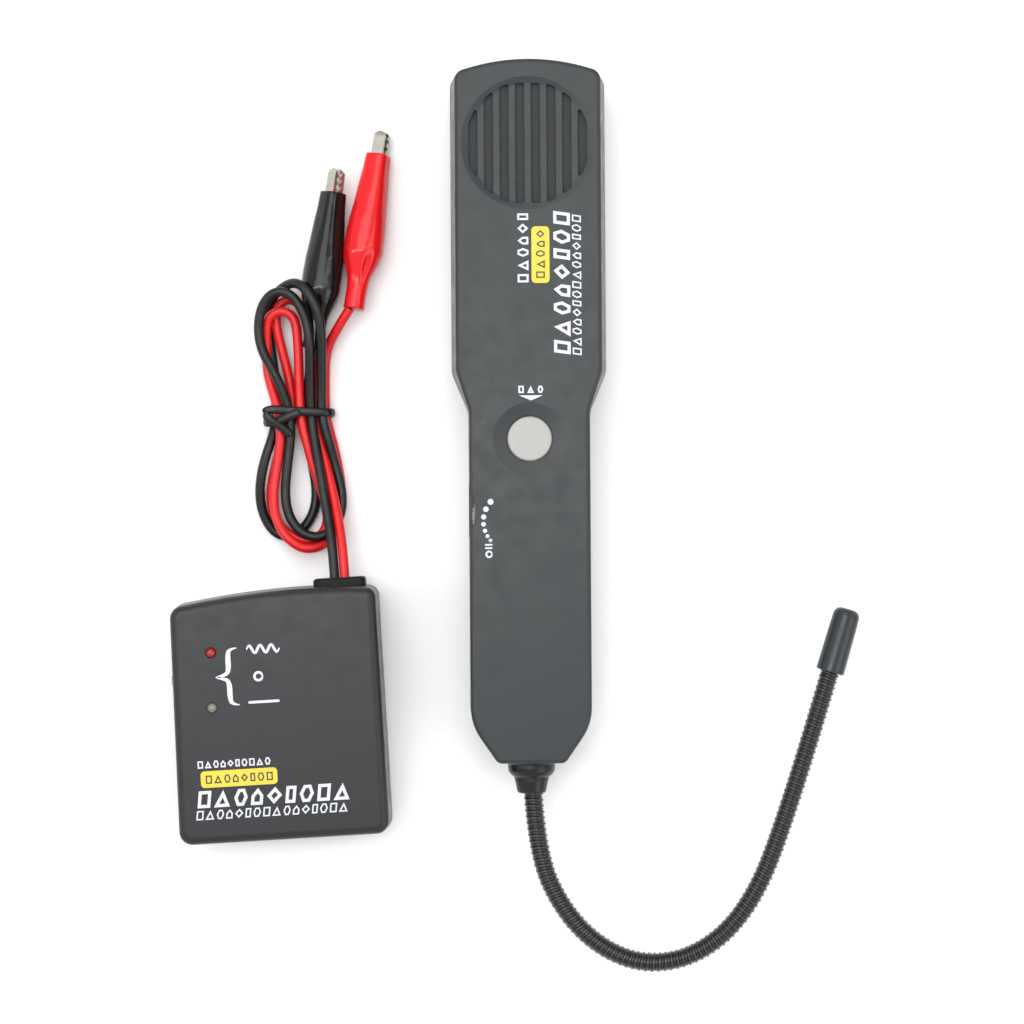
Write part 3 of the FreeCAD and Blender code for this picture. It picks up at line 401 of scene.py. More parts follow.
def soft_vinyl(name, shade, roughness):
    """Glossy flexible vinyl of wire jackets and clip boots, faintly rippled, with a few dull rubs."""
    finish = Finish(name, shade, roughness, Specular_IOR_Level=0.35)
    finish.tint(finish.levels(finish.noise(6 * MM), 0, 0.7), toned(shade, 0.85))
    finish.rough(finish.noise(2.2 * MM, 5), roughness - 0.05, roughness + 0.12)
    finish.raise_by(finish.noise(2.4 * MM, 1), 0.02 * MM)
    finish.raise_by(finish.noise(0.3 * MM, 1), 0.001 * MM)
    return finish.material


def rubber(name, shade, roughness, gloss):
    """Rubber with a dusty, slightly uneven surface; gloss is the strength of its highlights."""
    sheen = {"Sheen_Weight": 0.05, "Sheen_Roughness": 0.4}
    finish = Finish(name, shade, roughness, Specular_IOR_Level=gloss, **sheen)
    finish.tint(finish.levels(finish.noise(3 * MM, 5), 0, 0.6), toned(shade, 1.3))
    finish.rough(finish.noise(1.5 * MM, 4), roughness - 0.08, roughness + 0.1)
    finish.raise_by(finish.noise(0.25 * MM, 3), 0.008 * MM)
    return finish.material


def plated(name, shade, roughness=0.24, brush=(1, 8, 8)):
    """Plated or rolled metal with fine drawing lines and small stains."""
    finish = Finish(name, shade, roughness, Metallic=1)
    near_edge = finish.soft_edges(0.12 * MM)
    finish.tint(finish.levels(finish.noise(1.6 * MM, 5), 0, 0.45), toned(shade, 0.62))
    finish.tint(near_edge, toned(shade, 1.2))
    finish.rough(finish.noise(0.7 * MM, 4, brush), roughness - 0.06, roughness + 0.16)
    finish.raise_by(finish.noise(0.6 * MM, 2, brush), 0.004 * MM)
    return finish.material


def printing_ink(name, shade):
    """Screen-printed ink, a touch uneven where the plastic's grain shows through."""
    finish = Finish(name, shade, 0.45)
    finish.tint(finish.levels(finish.noise(0.35 * MM, 3), 0, 0.5, 0.5, 0.8), toned(shade, 0.8))
    finish.rough(finish.noise(1.2 * MM, 3), 0.38, 0.55)
    finish.raise_by(finish.noise(0.3 * MM, 2), 0.004 * MM)
    return finish.material


def lens(name, shade, clearness):
    """Epoxy of a small lamp, clear or dyed, with a darker die cup deep inside."""
    finish = Finish(name, shade, 0.08, Transmission_Weight=clearness, IOR=1.5, Coat_Weight=0.4)
    finish.tint(finish.levels(finish.cells(1.1 * MM), 0, 0.5, 0.1, 0.6), toned(shade, 0.6))
    finish.rough(finish.noise(0.8 * MM), 0.05, 0.16)
    finish.raise_by(finish.noise(0.9 * MM, 1), 0.01 * MM)
    return finish.material


def woven_cloth(name, shade):
    """Fine woven dust cloth behind the speaker slots."""
    finish = Finish(name, shade, 0.8, Sheen_Weight=0.3)
    warp = finish.stripes(0.42 * MM, "X")
    weft = finish.stripes(0.42 * MM, "Y")
    finish.tint(finish.levels(warp, 0, 0.5), toned(shade, 0.72))
    finish.tint(finish.levels(weft, 0, 0.5), toned(shade, 0.8))
    finish.rough(finish.noise(1.0 * MM), 0.72, 0.88)
    finish.raise_by(warp, 0.05 * MM)
    finish.raise_by(weft, 0.05 * MM)
    return finish.material


def paper_cone(name, shade):
    """Fibrous paper of the loudspeaker's cone."""
    finish = Finish(name, shade, 0.85)
    finish.tint(finish.levels(finish.noise(0.8 * MM, 5), 0, 0.7), toned(shade, 1.6))
    finish.rough(finish.noise(0.6 * MM), 0.78, 0.92)
    finish.raise_by(finish.noise(0.4 * MM, 4), 0.03 * MM)
    return finish.material


def circuit_board(name, shade):
    """Solder mask over copper tracks, with the tracks showing as slightly paler raised lines."""
    finish = Finish(name, shade, 0.32, Coat_Weight=0.3)
    tracks = finish.levels(finish.cells(2.4 * MM, (1, 1, 0.01)), 1, 0, 0.42, 0.5)
    finish.tint(tracks, toned(shade, 1.8))
    finish.rough(finish.noise(3 * MM), 0.26, 0.42)
    finish.raise_by(tracks, 0.03 * MM)
    return finish.material


def battery_jacket(name, shade):
    """Printed steel jacket of a nine-volt battery in two plain tones."""
    finish = Finish(name, shade, 0.34, Metallic=0.6)
    place = finish.node("ShaderNodeSeparateXYZ")
    finish.join(finish.node("ShaderNodeTexCoord").outputs["Generated"], place.inputs["Vector"])
    finish.tint(finish.levels(place.outputs["Y"], 0, 1, 0.64, 0.65), paint(196, 150, 62))
    finish.tint(finish.levels(finish.noise(2 * MM, 5), 0, 0.25), toned(shade, 0.5))
    finish.rough(finish.noise(4 * MM), 0.28, 0.44)
    finish.raise_by(finish.noise(1.4 * MM), 0.01 * MM)
    return finish.material


def component(name, shade):
    """Matte epoxy of chips, capacitors and switch bodies."""
    finish = Finish(name, shade, 0.55)
    finish.tint(finish.soft_edges(0.15 * MM), toned(shade, 2.2))
    finish.rough(finish.noise(1.0 * MM), 0.48, 0.66)
    finish.raise_by(finish.noise(0.12 * MM), 0.01 * MM)
    return finish.material


def make_finishes():
    """One finish for each material slot of the record."""
    return {
        "case_grey": moulded("case plastic", paint(47, 50, 52)),
        "case_grey_rear": moulded("rear case plastic", paint(46, 49, 51)),
        "box_grey": moulded("transmitter plastic", paint(40, 41, 43)),
        "button_grey": moulded("button plastic", paint(160, 160, 157), 0.36, wear=1.1),
        "wheel_grey": moulded("wheel plastic", paint(128, 127, 122), 0.26),
        "neck_rubber": rubber("gooseneck sleeve", paint(12, 12, 11), 0.2, 0.75),
        "tip_grey": moulded("tip plastic", paint(44, 48, 51), 0.26, relief=0.002 * MM),
        "collar_black": moulded("collar plastic", paint(30, 31, 32), 0.3),
        "steel": plated("nickel plate", paint(186, 183, 174)),
        "copper": plated("copper winding", paint(200, 122, 76), 0.3, (1, 1, 1)),
        "board_green": circuit_board("circuit board", paint(26, 92, 52)),
        "component_black": component("component epoxy", paint(30, 31, 33)),
        "battery_grey": battery_jacket("battery jacket", paint(72, 76, 82)),
        "speaker_steel": plated("speaker steel", paint(72, 74, 77), 0.5, (1, 1, 1)),
        "speaker_paper": paper_cone("speaker paper", paint(38, 38, 38)),
        "lamp_red": lens("red lamp epoxy", paint(205, 22, 26), 0.45),
        "lamp_clear": lens("clear lamp epoxy", paint(205, 200, 186), 0.7),
        "lead_black": soft_vinyl("black vinyl", paint(15, 17, 17), 0.36),
        "lead_red": soft_vinyl("red vinyl", paint(206, 22, 26), 0.3),
        "tie_black": soft_vinyl("tie sleeve", paint(13, 15, 16), 0.3),
        "grommet_black": rubber("grommet rubber", paint(8, 8, 8), 0.5, 0.2),
        "boot_black": soft_vinyl("black boot vinyl", paint(14, 15, 15), 0.14),
        "boot_red": soft_vinyl("red boot vinyl", paint(212, 22, 28), 0.14),
    }


def dress_nodes(finishes):
    """Gives every carried-over CAD node the finish of its slot."""
    for row in frame["record"]["subparts"]:
        node = nodes[row["node"]]
        node.data.materials.clear()
        node.data.materials.append(finishes[row["material_slot"]])


# ---------------------------------------------------------------- mesh helpers
def mesh_piece(name, mesh, material, smooth=True):
    """Turns a bmesh into a piece with that finish."""
    bmesh.ops.remove_doubles(mesh, verts=mesh.verts, dist=1e-7)
    bmesh.ops.recalc_face_normals(mesh, faces=mesh.faces)
    data = bpy.data.meshes.new(name)
    mesh.to_mesh(data)
    mesh.free()
    data.materials.append(material)
    if smooth:
        data.shade_smooth()
    else:
        data.shade_flat()
    piece = bpy.data.objects.new(name, data)
    scene.collection.objects.link(piece)
    return piece


def line_along(route):
    """Closely spaced points of the smooth curve past a route."""
    guide = smooth_curve("guide", route)
    mesh = bpy.data.meshes.new_from_object(guide)
    points = [vertex.co.copy() for vertex in mesh.vertices]
    bpy.data.meshes.remove(mesh)
    curve = guide.data
    bpy.data.objects.remove(guide)
    bpy.data.curves.remove(curve)
    return points


class Line:
    """A smooth line that can be asked for its place and direction at any distance along it."""

    def __init__(self, route):
        self.points = line_along(route)
        self.distances = [0]
        for before, after in zip(self.points, self.points[1:]):
            self.distances.append(self.distances[-1] + (after - before).length)
        self.length = self.distances[-1]

    def at(self, distance):
        distance = min(max(distance, 0), self.length)
        index = 1
        while index < len(self.points) - 1 and self.distances[index] < distance:
            index += 1
        passed, coming = self.distances[index - 1], self.distances[index]
        share = (distance - passed) / (coming - passed)
        return self.points[index - 1].lerp(self.points[index], share)

    def heading(self, distance):
        """Direction of the line, taken over a millimetre."""
        step = 0.5 * MM
        return (self.at(distance + step) - self.at(distance - step)).normalized()

    def nearest(self, place):
        """Distance along the line of its point nearest to a place."""
        place = Vector(place)
        return min(zip(self.points, self.distances), key=lambda pair: (pair[0] - place).length)[1]


def skin(mesh, rings, closed_ends=True):
    """Joins rings of the same number of points into a tube."""
    for ring, following in zip(rings, rings[1:]):
        for corner in range(len(ring)):
            beside = (corner + 1) % len(ring)
            mesh.faces.new((ring[corner], ring[beside], following[beside], following[corner]))
    if closed_ends:
        mesh.faces.new(rings[0])
        mesh.faces.new(rings[-1])


# ---------------------------------------------------------------- gooseneck
NECK_ROUTE = [
    (0.0, -0.0982, 0.014),
    (0.0, -0.1312, 0.014),
    (0.0110, -0.1554, 0.014),
    (0.0291, -0.1683, 0.014),
    (0.0485, -0.1671, 0.014),
    (0.0652, -0.1535, 0.014),
    (0.0773, -0.1262, 0.014),
    (0.0923, -0.07605, 0.014),
]
NECK_CREST = 3.0 * MM
NECK_GROOVE = 2.3 * MM
NECK_PITCH = 1.84 * MM
NECK_BROAD_SHARE = 0.64
NECK_NARROW_HEIGHT = 0.72
NECK_RIB_ROUNDNESS = 0.6
NECK_SIDES = 28
RIB_STEPS = 14
NECK_HINGES = [
    ("gooseneck_flex_1", "receiver", "neck_length_1"),
    ("gooseneck_flex_2", "neck_length_1", "neck_length_2"),
    ("gooseneck_flex_3", "neck_length_2", "neck_length_3"),
    ("gooseneck_flex_4", "neck_length_3", "neck_length_4"),
    ("gooseneck_flex_5", "neck_length_4", "probe_tip"),
]
NECK_STANDS_FOR = [
    ("gooseneck_root", "gooseneck_flex_1"),
    ("gooseneck_segment_1", "gooseneck_flex_2"),
    ("gooseneck_segment_2", "gooseneck_flex_3"),
    ("gooseneck_segment_3", "gooseneck_flex_4"),
    ("gooseneck_segment_4", "gooseneck_flex_5", "gooseneck_segment_5"),
]


def rib_radius(turns):
    """Radius of the wound sleeve at a number of turns: a broad rounded coil, then a narrow lower one."""
    share = turns % 1
    if share < NECK_BROAD_SHARE:
        height = 1
        share /= NECK_BROAD_SHARE
    else:
        height = NECK_NARROW_HEIGHT
        share = (share - NECK_BROAD_SHARE) / (1 - NECK_BROAD_SHARE)
    rise = math.sin(math.pi * share) ** NECK_RIB_ROUNDNESS
    return NECK_GROOVE + (NECK_CREST - NECK_GROOVE) * height * rise


def neck_sleeve(line, start, end):
    """The wound sleeve between two distances: its coils climb round the line like a thread."""
    mesh = bmesh.new()
    step = NECK_PITCH / RIB_STEPS
    columns = []
    first = math.floor(start / step) - RIB_STEPS
    last = math.ceil(end / step)
    for side in range(NECK_SIDES):
        around = side / NECK_SIDES
        column = []
        for row in range(first, last + 1):
            distance = min(max((row + RIB_STEPS * around) * step, start), end)
            heading = line.heading(distance)
            across = heading.cross(UP).normalized()
            outward = across * math.cos(math.tau * around) + UP * math.sin(math.tau * around)
            radius = rib_radius(distance / NECK_PITCH - around)
            column.append(mesh.verts.new(line.at(distance) + outward * radius))
        columns.append(column)
    rows = len(columns[0])
    for side in range(NECK_SIDES):
        beside = (side + 1) % NECK_SIDES
        shift = RIB_STEPS if beside == 0 else 0
        for row in range(rows - 1):
            low = min(row + shift, rows - 1)
            high = min(row + shift + 1, rows - 1)
            if low != high:
                near, far = columns[side], columns[beside]
                mesh.faces.new((near[row], far[low], far[high], near[row + 1]))
    bmesh.ops.dissolve_degenerate(mesh, dist=1e-6, edges=mesh.edges)
    return mesh


def make_gooseneck(material):
    """One length of sleeve round each hinge, cut halfway between neighbouring hinges."""
    line = Line(NECK_ROUTE)
    hinges = []
    for node, _, _ in NECK_HINGES:
        low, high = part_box(node)
        hinges.append(line.nearest((low + high) / 2))
    middles = [(before + after) / 2 for before, after in zip(hinges, hinges[1:])]
    cuts = [0, *middles, line.length]
    for number, (_, near_body, far_body) in enumerate(NECK_HINGES):
        mesh = neck_sleeve(line, cuts[number], cuts[number + 1])
        piece = mesh_piece(f"gooseneck_sleeve_{number + 1}", mesh, material)
        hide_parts(*NECK_STANDS_FOR[number])
        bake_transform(piece)


# ---------------------------------------------------------------- clip boots and springs
# In millimetres, in each clip's own frame, unless MM is applied.
CLIP_LENGTH = 56.0
CLIP_PIVOT = 28.0
CLIP_BELLY = 20.0
CLIP_REST = 6.45
BOOT_SIDES = 48
PLEAT_DEPTH = 1.0
PLEAT_PLACE = 13.5
PLEAT_REACH = 3.4
PLEAT_SHARPNESS = 5
SQUARE_FROM = 20.0
SQUARE_OVER = 20.0
SQUARENESS = 0.07
# Each point of a boot's profile is a place along the clip and a radius.
BOOT_OUTSIDE = [
    (0.0, 1.4),
    (0.0, 3.15),
    (0.5, 3.3),
    (1.4, 3.2),
    (6.5, 3.2),
    (9.0, 3.45),
    (10.8, 3.9),
    (13.0, 4.75),
    (15.0, 5.45),
    (17.0, 6.0),
    (18.0, 6.16),
    (19.0, 6.16),
    (20.0, 6.1),
    (23.0, 6.02),
    (28.0, 5.7),
    (32.0, 5.2),
    (36.6, 4.75),
    (44.0, 3.98),
    (47.8, 3.8),
    (48.4, 3.7),
]
BOOT_INSIDE = [
    (48.5, 3.45),
    (48.3, 3.25),
    (44.0, 3.42),
    (36.6, 4.2),
    (28.0, 5.1),
    (20.0, 5.5),
    (16.0, 5.0),
    (12.5, 3.6),
    (11.6, 1.4),
]
# Colour, place of the jaws' tips, then heading, pitch and roll in degrees.
BOOTS = [
    ("red", (-44.75, 88.0), 9.3, 4.0, -20.0),
    ("black", (-58.8, 76.3), 8.0, 0.0, -45.0),
]


def clip_frame(tip, heading, pitch, roll):
    """Frame of a clip: Y runs from the neck of the boot to the jaw tips, and Z is the opening side."""
    turn = Matrix.Rotation(math.radians(-heading), 4, "Z")
    nose = Matrix.Rotation(math.radians(-pitch), 4, "X")
    lean = Matrix.Rotation(math.radians(roll), 4, "Y")
    rotation = turn @ nose @ lean
    along = rotation @ Vector((0, 1, 0))
    tip_z = CLIP_REST - (CLIP_LENGTH - CLIP_BELLY) * math.sin(math.radians(pitch))
    base = Vector((*tip, tip_z)) - along * CLIP_LENGTH
    return Matrix.Translation(base * MM) @ rotation


def pleat_depth(angle, place):
    """How far the shoulder of the boot is pinched in: four folds that run from the neck to the belly."""
    along = math.exp(-((place - PLEAT_PLACE) / PLEAT_REACH) ** 2)
    fold = max(0, math.cos(4 * angle)) ** PLEAT_SHARPNESS
    return PLEAT_DEPTH * along * fold


def boot_ring(mesh, placing, place, radius, outside):
    """One ring of the boot, a little square towards the mouth and pinched at the shoulder."""
    squareness = SQUARENESS * min(max((place - SQUARE_FROM) / SQUARE_OVER, 0), 1)
    ring = []
    for side in range(BOOT_SIDES):
        angle = math.tau * side / BOOT_SIDES
        reach = radius * (1 - squareness * math.cos(4 * angle))
        if outside:
            reach -= pleat_depth(angle + math.pi / 4, place)
        point = Vector((reach * math.cos(angle), place, reach * math.sin(angle)))
        ring.append(mesh.verts.new(placing @ (point * MM)))
    return ring


def resampled(profile, spacing):
    """The profile with extra stations, so that the pleats have something to bend."""
    stations = [profile[0]]
    for before, after in zip(profile, profile[1:]):
        count = max(1, round(abs(after[0] - before[0]) / spacing))
        for step in range(1, count + 1):
            share = step / count
            stations.append(tuple(a + (b - a) * share for a, b in zip(before, after)))
    return stations


def make_boot(colour, placing, material):
    """Flexible sleeve over a clip, with a wall."""
    mesh = bmesh.new()
    outside = resampled(BOOT_OUTSIDE, 1.0)
    rings = [boot_ring(mesh, placing, place, radius, True) for place, radius in outside]
    rings += [boot_ring(mesh, placing, place, radius, False) for place, radius in BOOT_INSIDE]
    skin(mesh, rings)
    boot = mesh_piece(f"{colour}_boot", mesh, material)
    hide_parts(f"{colour}_clip_boot")
    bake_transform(boot)
    return boot


SPRING_TURNS = 3
SPRING_POINTS_PER_TURN = 8
SPRING_RADIUS = 1.6
SPRING_HALF_WIDTH = 0.75
SPRING_LEG = 9.5
SPRING_LEG_RISE = 3.1
SPRING_WIRE = 0.25 * MM
SPRING_STEPS = 200
WIRE_SIDES = 10


def spring_route(placing):
    """In along the lower leg, round the clip's pin, and out along the upper leg."""
    steps = SPRING_POINTS_PER_TURN * SPRING_TURNS + SPRING_POINTS_PER_TURN // 2
    route = [Vector((-SPRING_HALF_WIDTH, CLIP_PIVOT - SPRING_LEG, -SPRING_LEG_RISE))]
    for step in range(steps + 1):
        angle = (step / SPRING_POINTS_PER_TURN - 0.25) * math.tau
        x = SPRING_HALF_WIDTH * (2 * step / steps - 1)
        y = CLIP_PIVOT + SPRING_RADIUS * math.cos(angle)
        route.append(Vector((x, y, SPRING_RADIUS * math.sin(angle))))
    route.append(Vector((SPRING_HALF_WIDTH, CLIP_PIVOT - SPRING_LEG, SPRING_LEG_RISE)))
    return [tuple(placing @ (point * MM)) for point in route]


def make_spring(colour, placing, material):
    """Torsion spring of a clip, wound round its pin between a lower and an upper leg."""
    line = Line(spring_route(placing))
    side = placing.to_3x3() @ Vector((1, 0, 0))
    mesh = bmesh.new()
    rings = []
    for row in range(SPRING_STEPS + 1):
        distance = line.length * row / SPRING_STEPS
        heading = line.heading(distance)
        across = heading.cross(side).normalized()
        beside = heading.cross(across)
        ring = []
        for corner in range(WIRE_SIDES):
            angle = math.tau * corner / WIRE_SIDES
            reach = across * math.cos(angle) + beside * math.sin(angle)
            ring.append(mesh.verts.new(line.at(distance) + reach * SPRING_WIRE))
        rings.append(ring)
    skin(mesh, rings)
    spring = mesh_piece(f"{colour}_spring", mesh, material)
    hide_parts(f"{colour}_clip_spring")
    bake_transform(spring)
    return spring


# ---------------------------------------------------------------- twist tie
TIE_ROUTE = [
    (-0.0728, -0.0061, 0.0084),
    (-0.0757, -0.0038, 0.0092),
    (-0.0785, -0.0016, 0.0102),
    (-0.0806, -0.0002, 0.0104),
    (-0.0814, 0.0010, 0.0096),
    (-0.0802, 0.0020, 0.0094),
    (-0.0770, 0.0020, 0.0094),
    (-0.0730, 0.0016, 0.0090),
    (-0.0660, 0.0012, 0.0089),
    (-0.0616, 0.0011, 0.0080),
    (-0.0600, 0.0011, 0.0045),
    (-0.0616, 0.0009, 0.0013),
    (-0.0660, 0.0006, 0.0009),
    (-0.0760, -0.0004, 0.0009),
    (-0.0802, -0.0010, 0.0014),
    (-0.0818, -0.0016, 0.0044),
    (-0.0810, -0.0020, 0.0074),
    (-0.0788, -0.0019, 0.0086),
    (-0.0761, -0.0010, 0.0098),
    (-0.0728, 0.0003, 0.0104),
    (-0.0702, 0.0013, 0.0106),
]
TIE_HALF_WIDTH = 1.3 * MM
TIE_HALF_THICKNESS = 0.6 * MM
TIE_SIDES = 16
TIE_STEPS = 240
TIE_END_STEPS = 3
TIE_END_SHARE = 0.02


def make_tie(material):
    """A coated wire tie wound twice round the leads, with its end tucked over itself."""
    line = Line(TIE_ROUTE)
    mesh = bmesh.new()
    rings = []
    for row in range(TIE_STEPS + 1):
        distance = line.length * row / TIE_STEPS
        heading = line.heading(distance)
        width = (Vector((0, 1, 0)) - heading * heading.y).normalized()
        depth = heading.cross(width)
        from_end = min(row, TIE_STEPS - row) / TIE_END_STEPS
        rounding = min(1, math.sqrt(max(TIE_END_SHARE, from_end)))
        ring = []
        for side in range(TIE_SIDES):
            angle = math.tau * side / TIE_SIDES
            reach = width * math.cos(angle) * TIE_HALF_WIDTH
            reach += depth * math.sin(angle) * TIE_HALF_THICKNESS
            ring.append(mesh.verts.new(line.at(distance) + reach * rounding))
        rings.append(ring)
    skin(mesh, rings)
    tie = mesh_piece("lead_tie", mesh, material)
    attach(tie, "transmitter")
    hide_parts("twist_tie")
    return tie


# ---------------------------------------------------------------- speaker cloth
CLOTH_RADIUS = 19.0 * MM
CLOTH_Z = 26.06 * MM
CLOTH_THICKNESS = 0.15 * MM
CLOTH_RINGS = (0.02, 0.2, 0.4, 0.6, 0.8, 1.0)
CLOTH_SIDES = 64
SPEAKER_Y = 80.8 * MM


def make_speaker_cloth(material):
    """Disc of dust cloth glued flat behind the slots."""
    mesh = bmesh.new()
    rings = []
    for share in CLOTH_RINGS:
        ring = []
        for side in range(CLOTH_SIDES):
            angle = math.tau * side / CLOTH_SIDES
            radius = CLOTH_RADIUS * share
            place = (radius * math.cos(angle), SPEAKER_Y + radius * math.sin(angle), CLOTH_Z)
            ring.append(mesh.verts.new(place))
        rings.append(ring)
    skin(mesh, rings, closed_ends=False)
    mesh.faces.new(rings[0])
    bmesh.ops.solidify(mesh, geom=mesh.faces[:], thickness=CLOTH_THICKNESS)
    cloth = mesh_piece("speaker_dust_cloth", mesh, material)
    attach(cloth, "receiver")


# ---------------------------------------------------------------- printed marks
# In millimetres and degrees, apart from BOX_PLACING.
INK_THICKNESS = 0.03
INK_ROOT = 0.01
INK_OVERPRINT = 0.02
RECEIVER_TOP = 28.0
BOX_TOP = 26.0
BOX_PLACING = Matrix.Translation((-0.0755, -0.0907, 0)) @ Matrix.Rotation(math.radians(3.1), 4, "Z")

SQUARE = [(0, 0), (1, 0), (1, 1), (0, 1)]
TRIANGLE = [(0, 0), (1, 0), (0.5, 1)]
DIAMOND = [(0.5, 0), (1, 0.5), (0.5, 1), (0, 0.5)]
GABLE = [(0, 0), (1, 0), (1, 0.55), (0.5, 1), (0, 0.55)]
HEXAGON = [(0.25, 0), (0.75, 0), (1, 0.5), (0.75, 1), (0.25, 1), (0, 0.5)]
# Each emblem is its width as a share of its height, and its outline in a unit square.
EMBLEMS = [
    (0.75, SQUARE),
    (0.95, TRIANGLE),
    (0.8, HEXAGON),
    (0.7, GABLE),
    (0.9, DIAMOND),
    (0.6, SQUARE),
    (0.85, HEXAGON),
]
EMBLEM_GAP = 0.2
BOLD = 0.95
FINE = 0.42
CORNER_STEPS = 6
DOT_SIDES = 24
CIRCLE_SIDES = 28
RIBBON_END = 0.45
RIBBON_SPREAD = 6
BADGE_CORNER = 1.2

DIAL_CENTRE = (-5.15, -32.7)
DIAL_RADIUS = 8.9
DIAL_DOTS = 7
DIAL_START = -40
DIAL_STEP = 9.3
DIAL_STEP_GROWTH = 0.7
DIAL_DOT_RADIUS = 0.52
DIAL_DOT_GROWTH = 0.062
BRACE_MIRROR = 25.1
WAVE_START = (-9.0, 20.4)
WAVE_STEP = 0.3
WAVE_HEIGHT = 1.15
WAVE_STEPS_PER_TURN = 11
WAVE_TURNS = 3


class Marks:
    """Flat printed shapes, in millimetres on the face that they are printed on."""

    def __init__(self, placing, top):
        self.mesh = bmesh.new()
        self.placing = placing
        self.top = top

    def shape(self, outline, lift=0):
        """Closed outline as a thin layer of ink."""
        layers = []
        for height in (self.top - INK_ROOT, self.top + INK_THICKNESS + lift):
            places = [self.placing @ (Vector((x, y, height)) * MM) for x, y in outline]
            layers.append([self.mesh.verts.new(place) for place in places])
        skin(self.mesh, layers)

    def bar(self, x0, x1, y0, y1):
        self.shape([(x0, y0), (x1, y0), (x1, y1), (x0, y1)])

    def plate(self, x0, x1, y0, y1, corner):
        """Rectangle with round corners."""
        centres = [(x1 - corner, y1 - corner), (x0 + corner, y1 - corner)]
        centres += [(x0 + corner, y0 + corner), (x1 - corner, y0 + corner)]
        outline = []
        for quarter, (x, y) in enumerate(centres):
            for step in range(CORNER_STEPS + 1):
                angle = math.pi / 2 * (quarter + step / CORNER_STEPS)
                outline.append((x + corner * math.cos(angle), y + corner * math.sin(angle)))
        self.shape(outline)

    def dot(self, x, y, radius):
        self.shape(circle_points(x, y, radius, DOT_SIDES)[:-1])

    def ribbon(self, points, width, swell=0):
        """Line that narrows at both ends; swell adds to its width in the middle of each half."""
        left, right = [], []
        last = len(points) - 1
        for index, (x, y) in enumerate(points):
            before = points[max(index - 1, 0)]
            after = points[min(index + 1, last)]
            along = Vector((after[0] - before[0], after[1] - before[1])).normalized()
            half = width / 2 * min(1, RIBBON_END + RIBBON_SPREAD * min(index, last - index) / last)
            half += swell / 2 * abs(math.sin(math.tau * index / last))
            left.append((x - along.y * half, y + along.x * half))
            right.append((x + along.y * half, y - along.x * half))
        for index in range(last):
            self.shape([left[index], left[index + 1], right[index + 1], right[index]])

    def outline(self, corners, width, lift):
        """Closed band of even width along a convex outline given anticlockwise, with mitred corners."""
        inner, outer = [], []
        befores = corners[-1:] + corners[:-1]
        afters = corners[1:] + corners[:1]
        for before, corner, after in zip(befores, corners, afters):
            arrive = (Vector(corner) - Vector(before)).normalized()
            leave = (Vector(after) - Vector(corner)).normalized()
            aside = Vector((-arrive.y - leave.y, arrive.x + leave.x)) / (1 + arrive.dot(leave))
            inner.append(Vector(corner) + aside * width)
            outer.append(Vector(corner))
        for index in range(len(corners)):
            beside = (index + 1) % len(corners)
            self.shape([outer[index], outer[beside], inner[beside], inner[index]], lift)

    def row(self, x0, x1, y0, y1, width, lean=0, lift=0):
        """Row of plain outline shapes from x0 to x1 that stands in for a line of printing."""
        height = y1 - y0
        room = (x1 - x0) / height
        shares = [EMBLEMS[0][0]]
        while True:
            following = EMBLEMS[len(shares) % len(EMBLEMS)][0]
            if sum(shares) + following + EMBLEM_GAP * len(shares) >= room:
                break
            shares.append(following)
        gap = (x1 - x0 - sum(shares) * height) / max(1, len(shares) - 1)
        x = x0
        for index, share in enumerate(shares):
            emblem = EMBLEMS[index % len(EMBLEMS)][1]
            corners = [(x + u * share * height + v * lean, y0 + v * height) for u, v in emblem]
            self.outline(corners, width, lift)
            x += share * height + gap

    def finish(self, name, material, body, slot):
        piece = mesh_piece(name, self.mesh, material, smooth=False)
        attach(piece, body)


def upright_placing():
    """The receiver's printing reads along its length: X runs up the case, and Y across to the left."""
    return Matrix.Rotation(math.pi / 2, 4, "Z")


def circle_points(x, y, radius, count=CIRCLE_SIDES):
    """Points round a circle, the first one repeated at the end."""
    angles = [math.tau * step / count for step in range(count + 1)]
    return [(x + radius * math.cos(angle), y + radius * math.sin(angle)) for angle in angles]


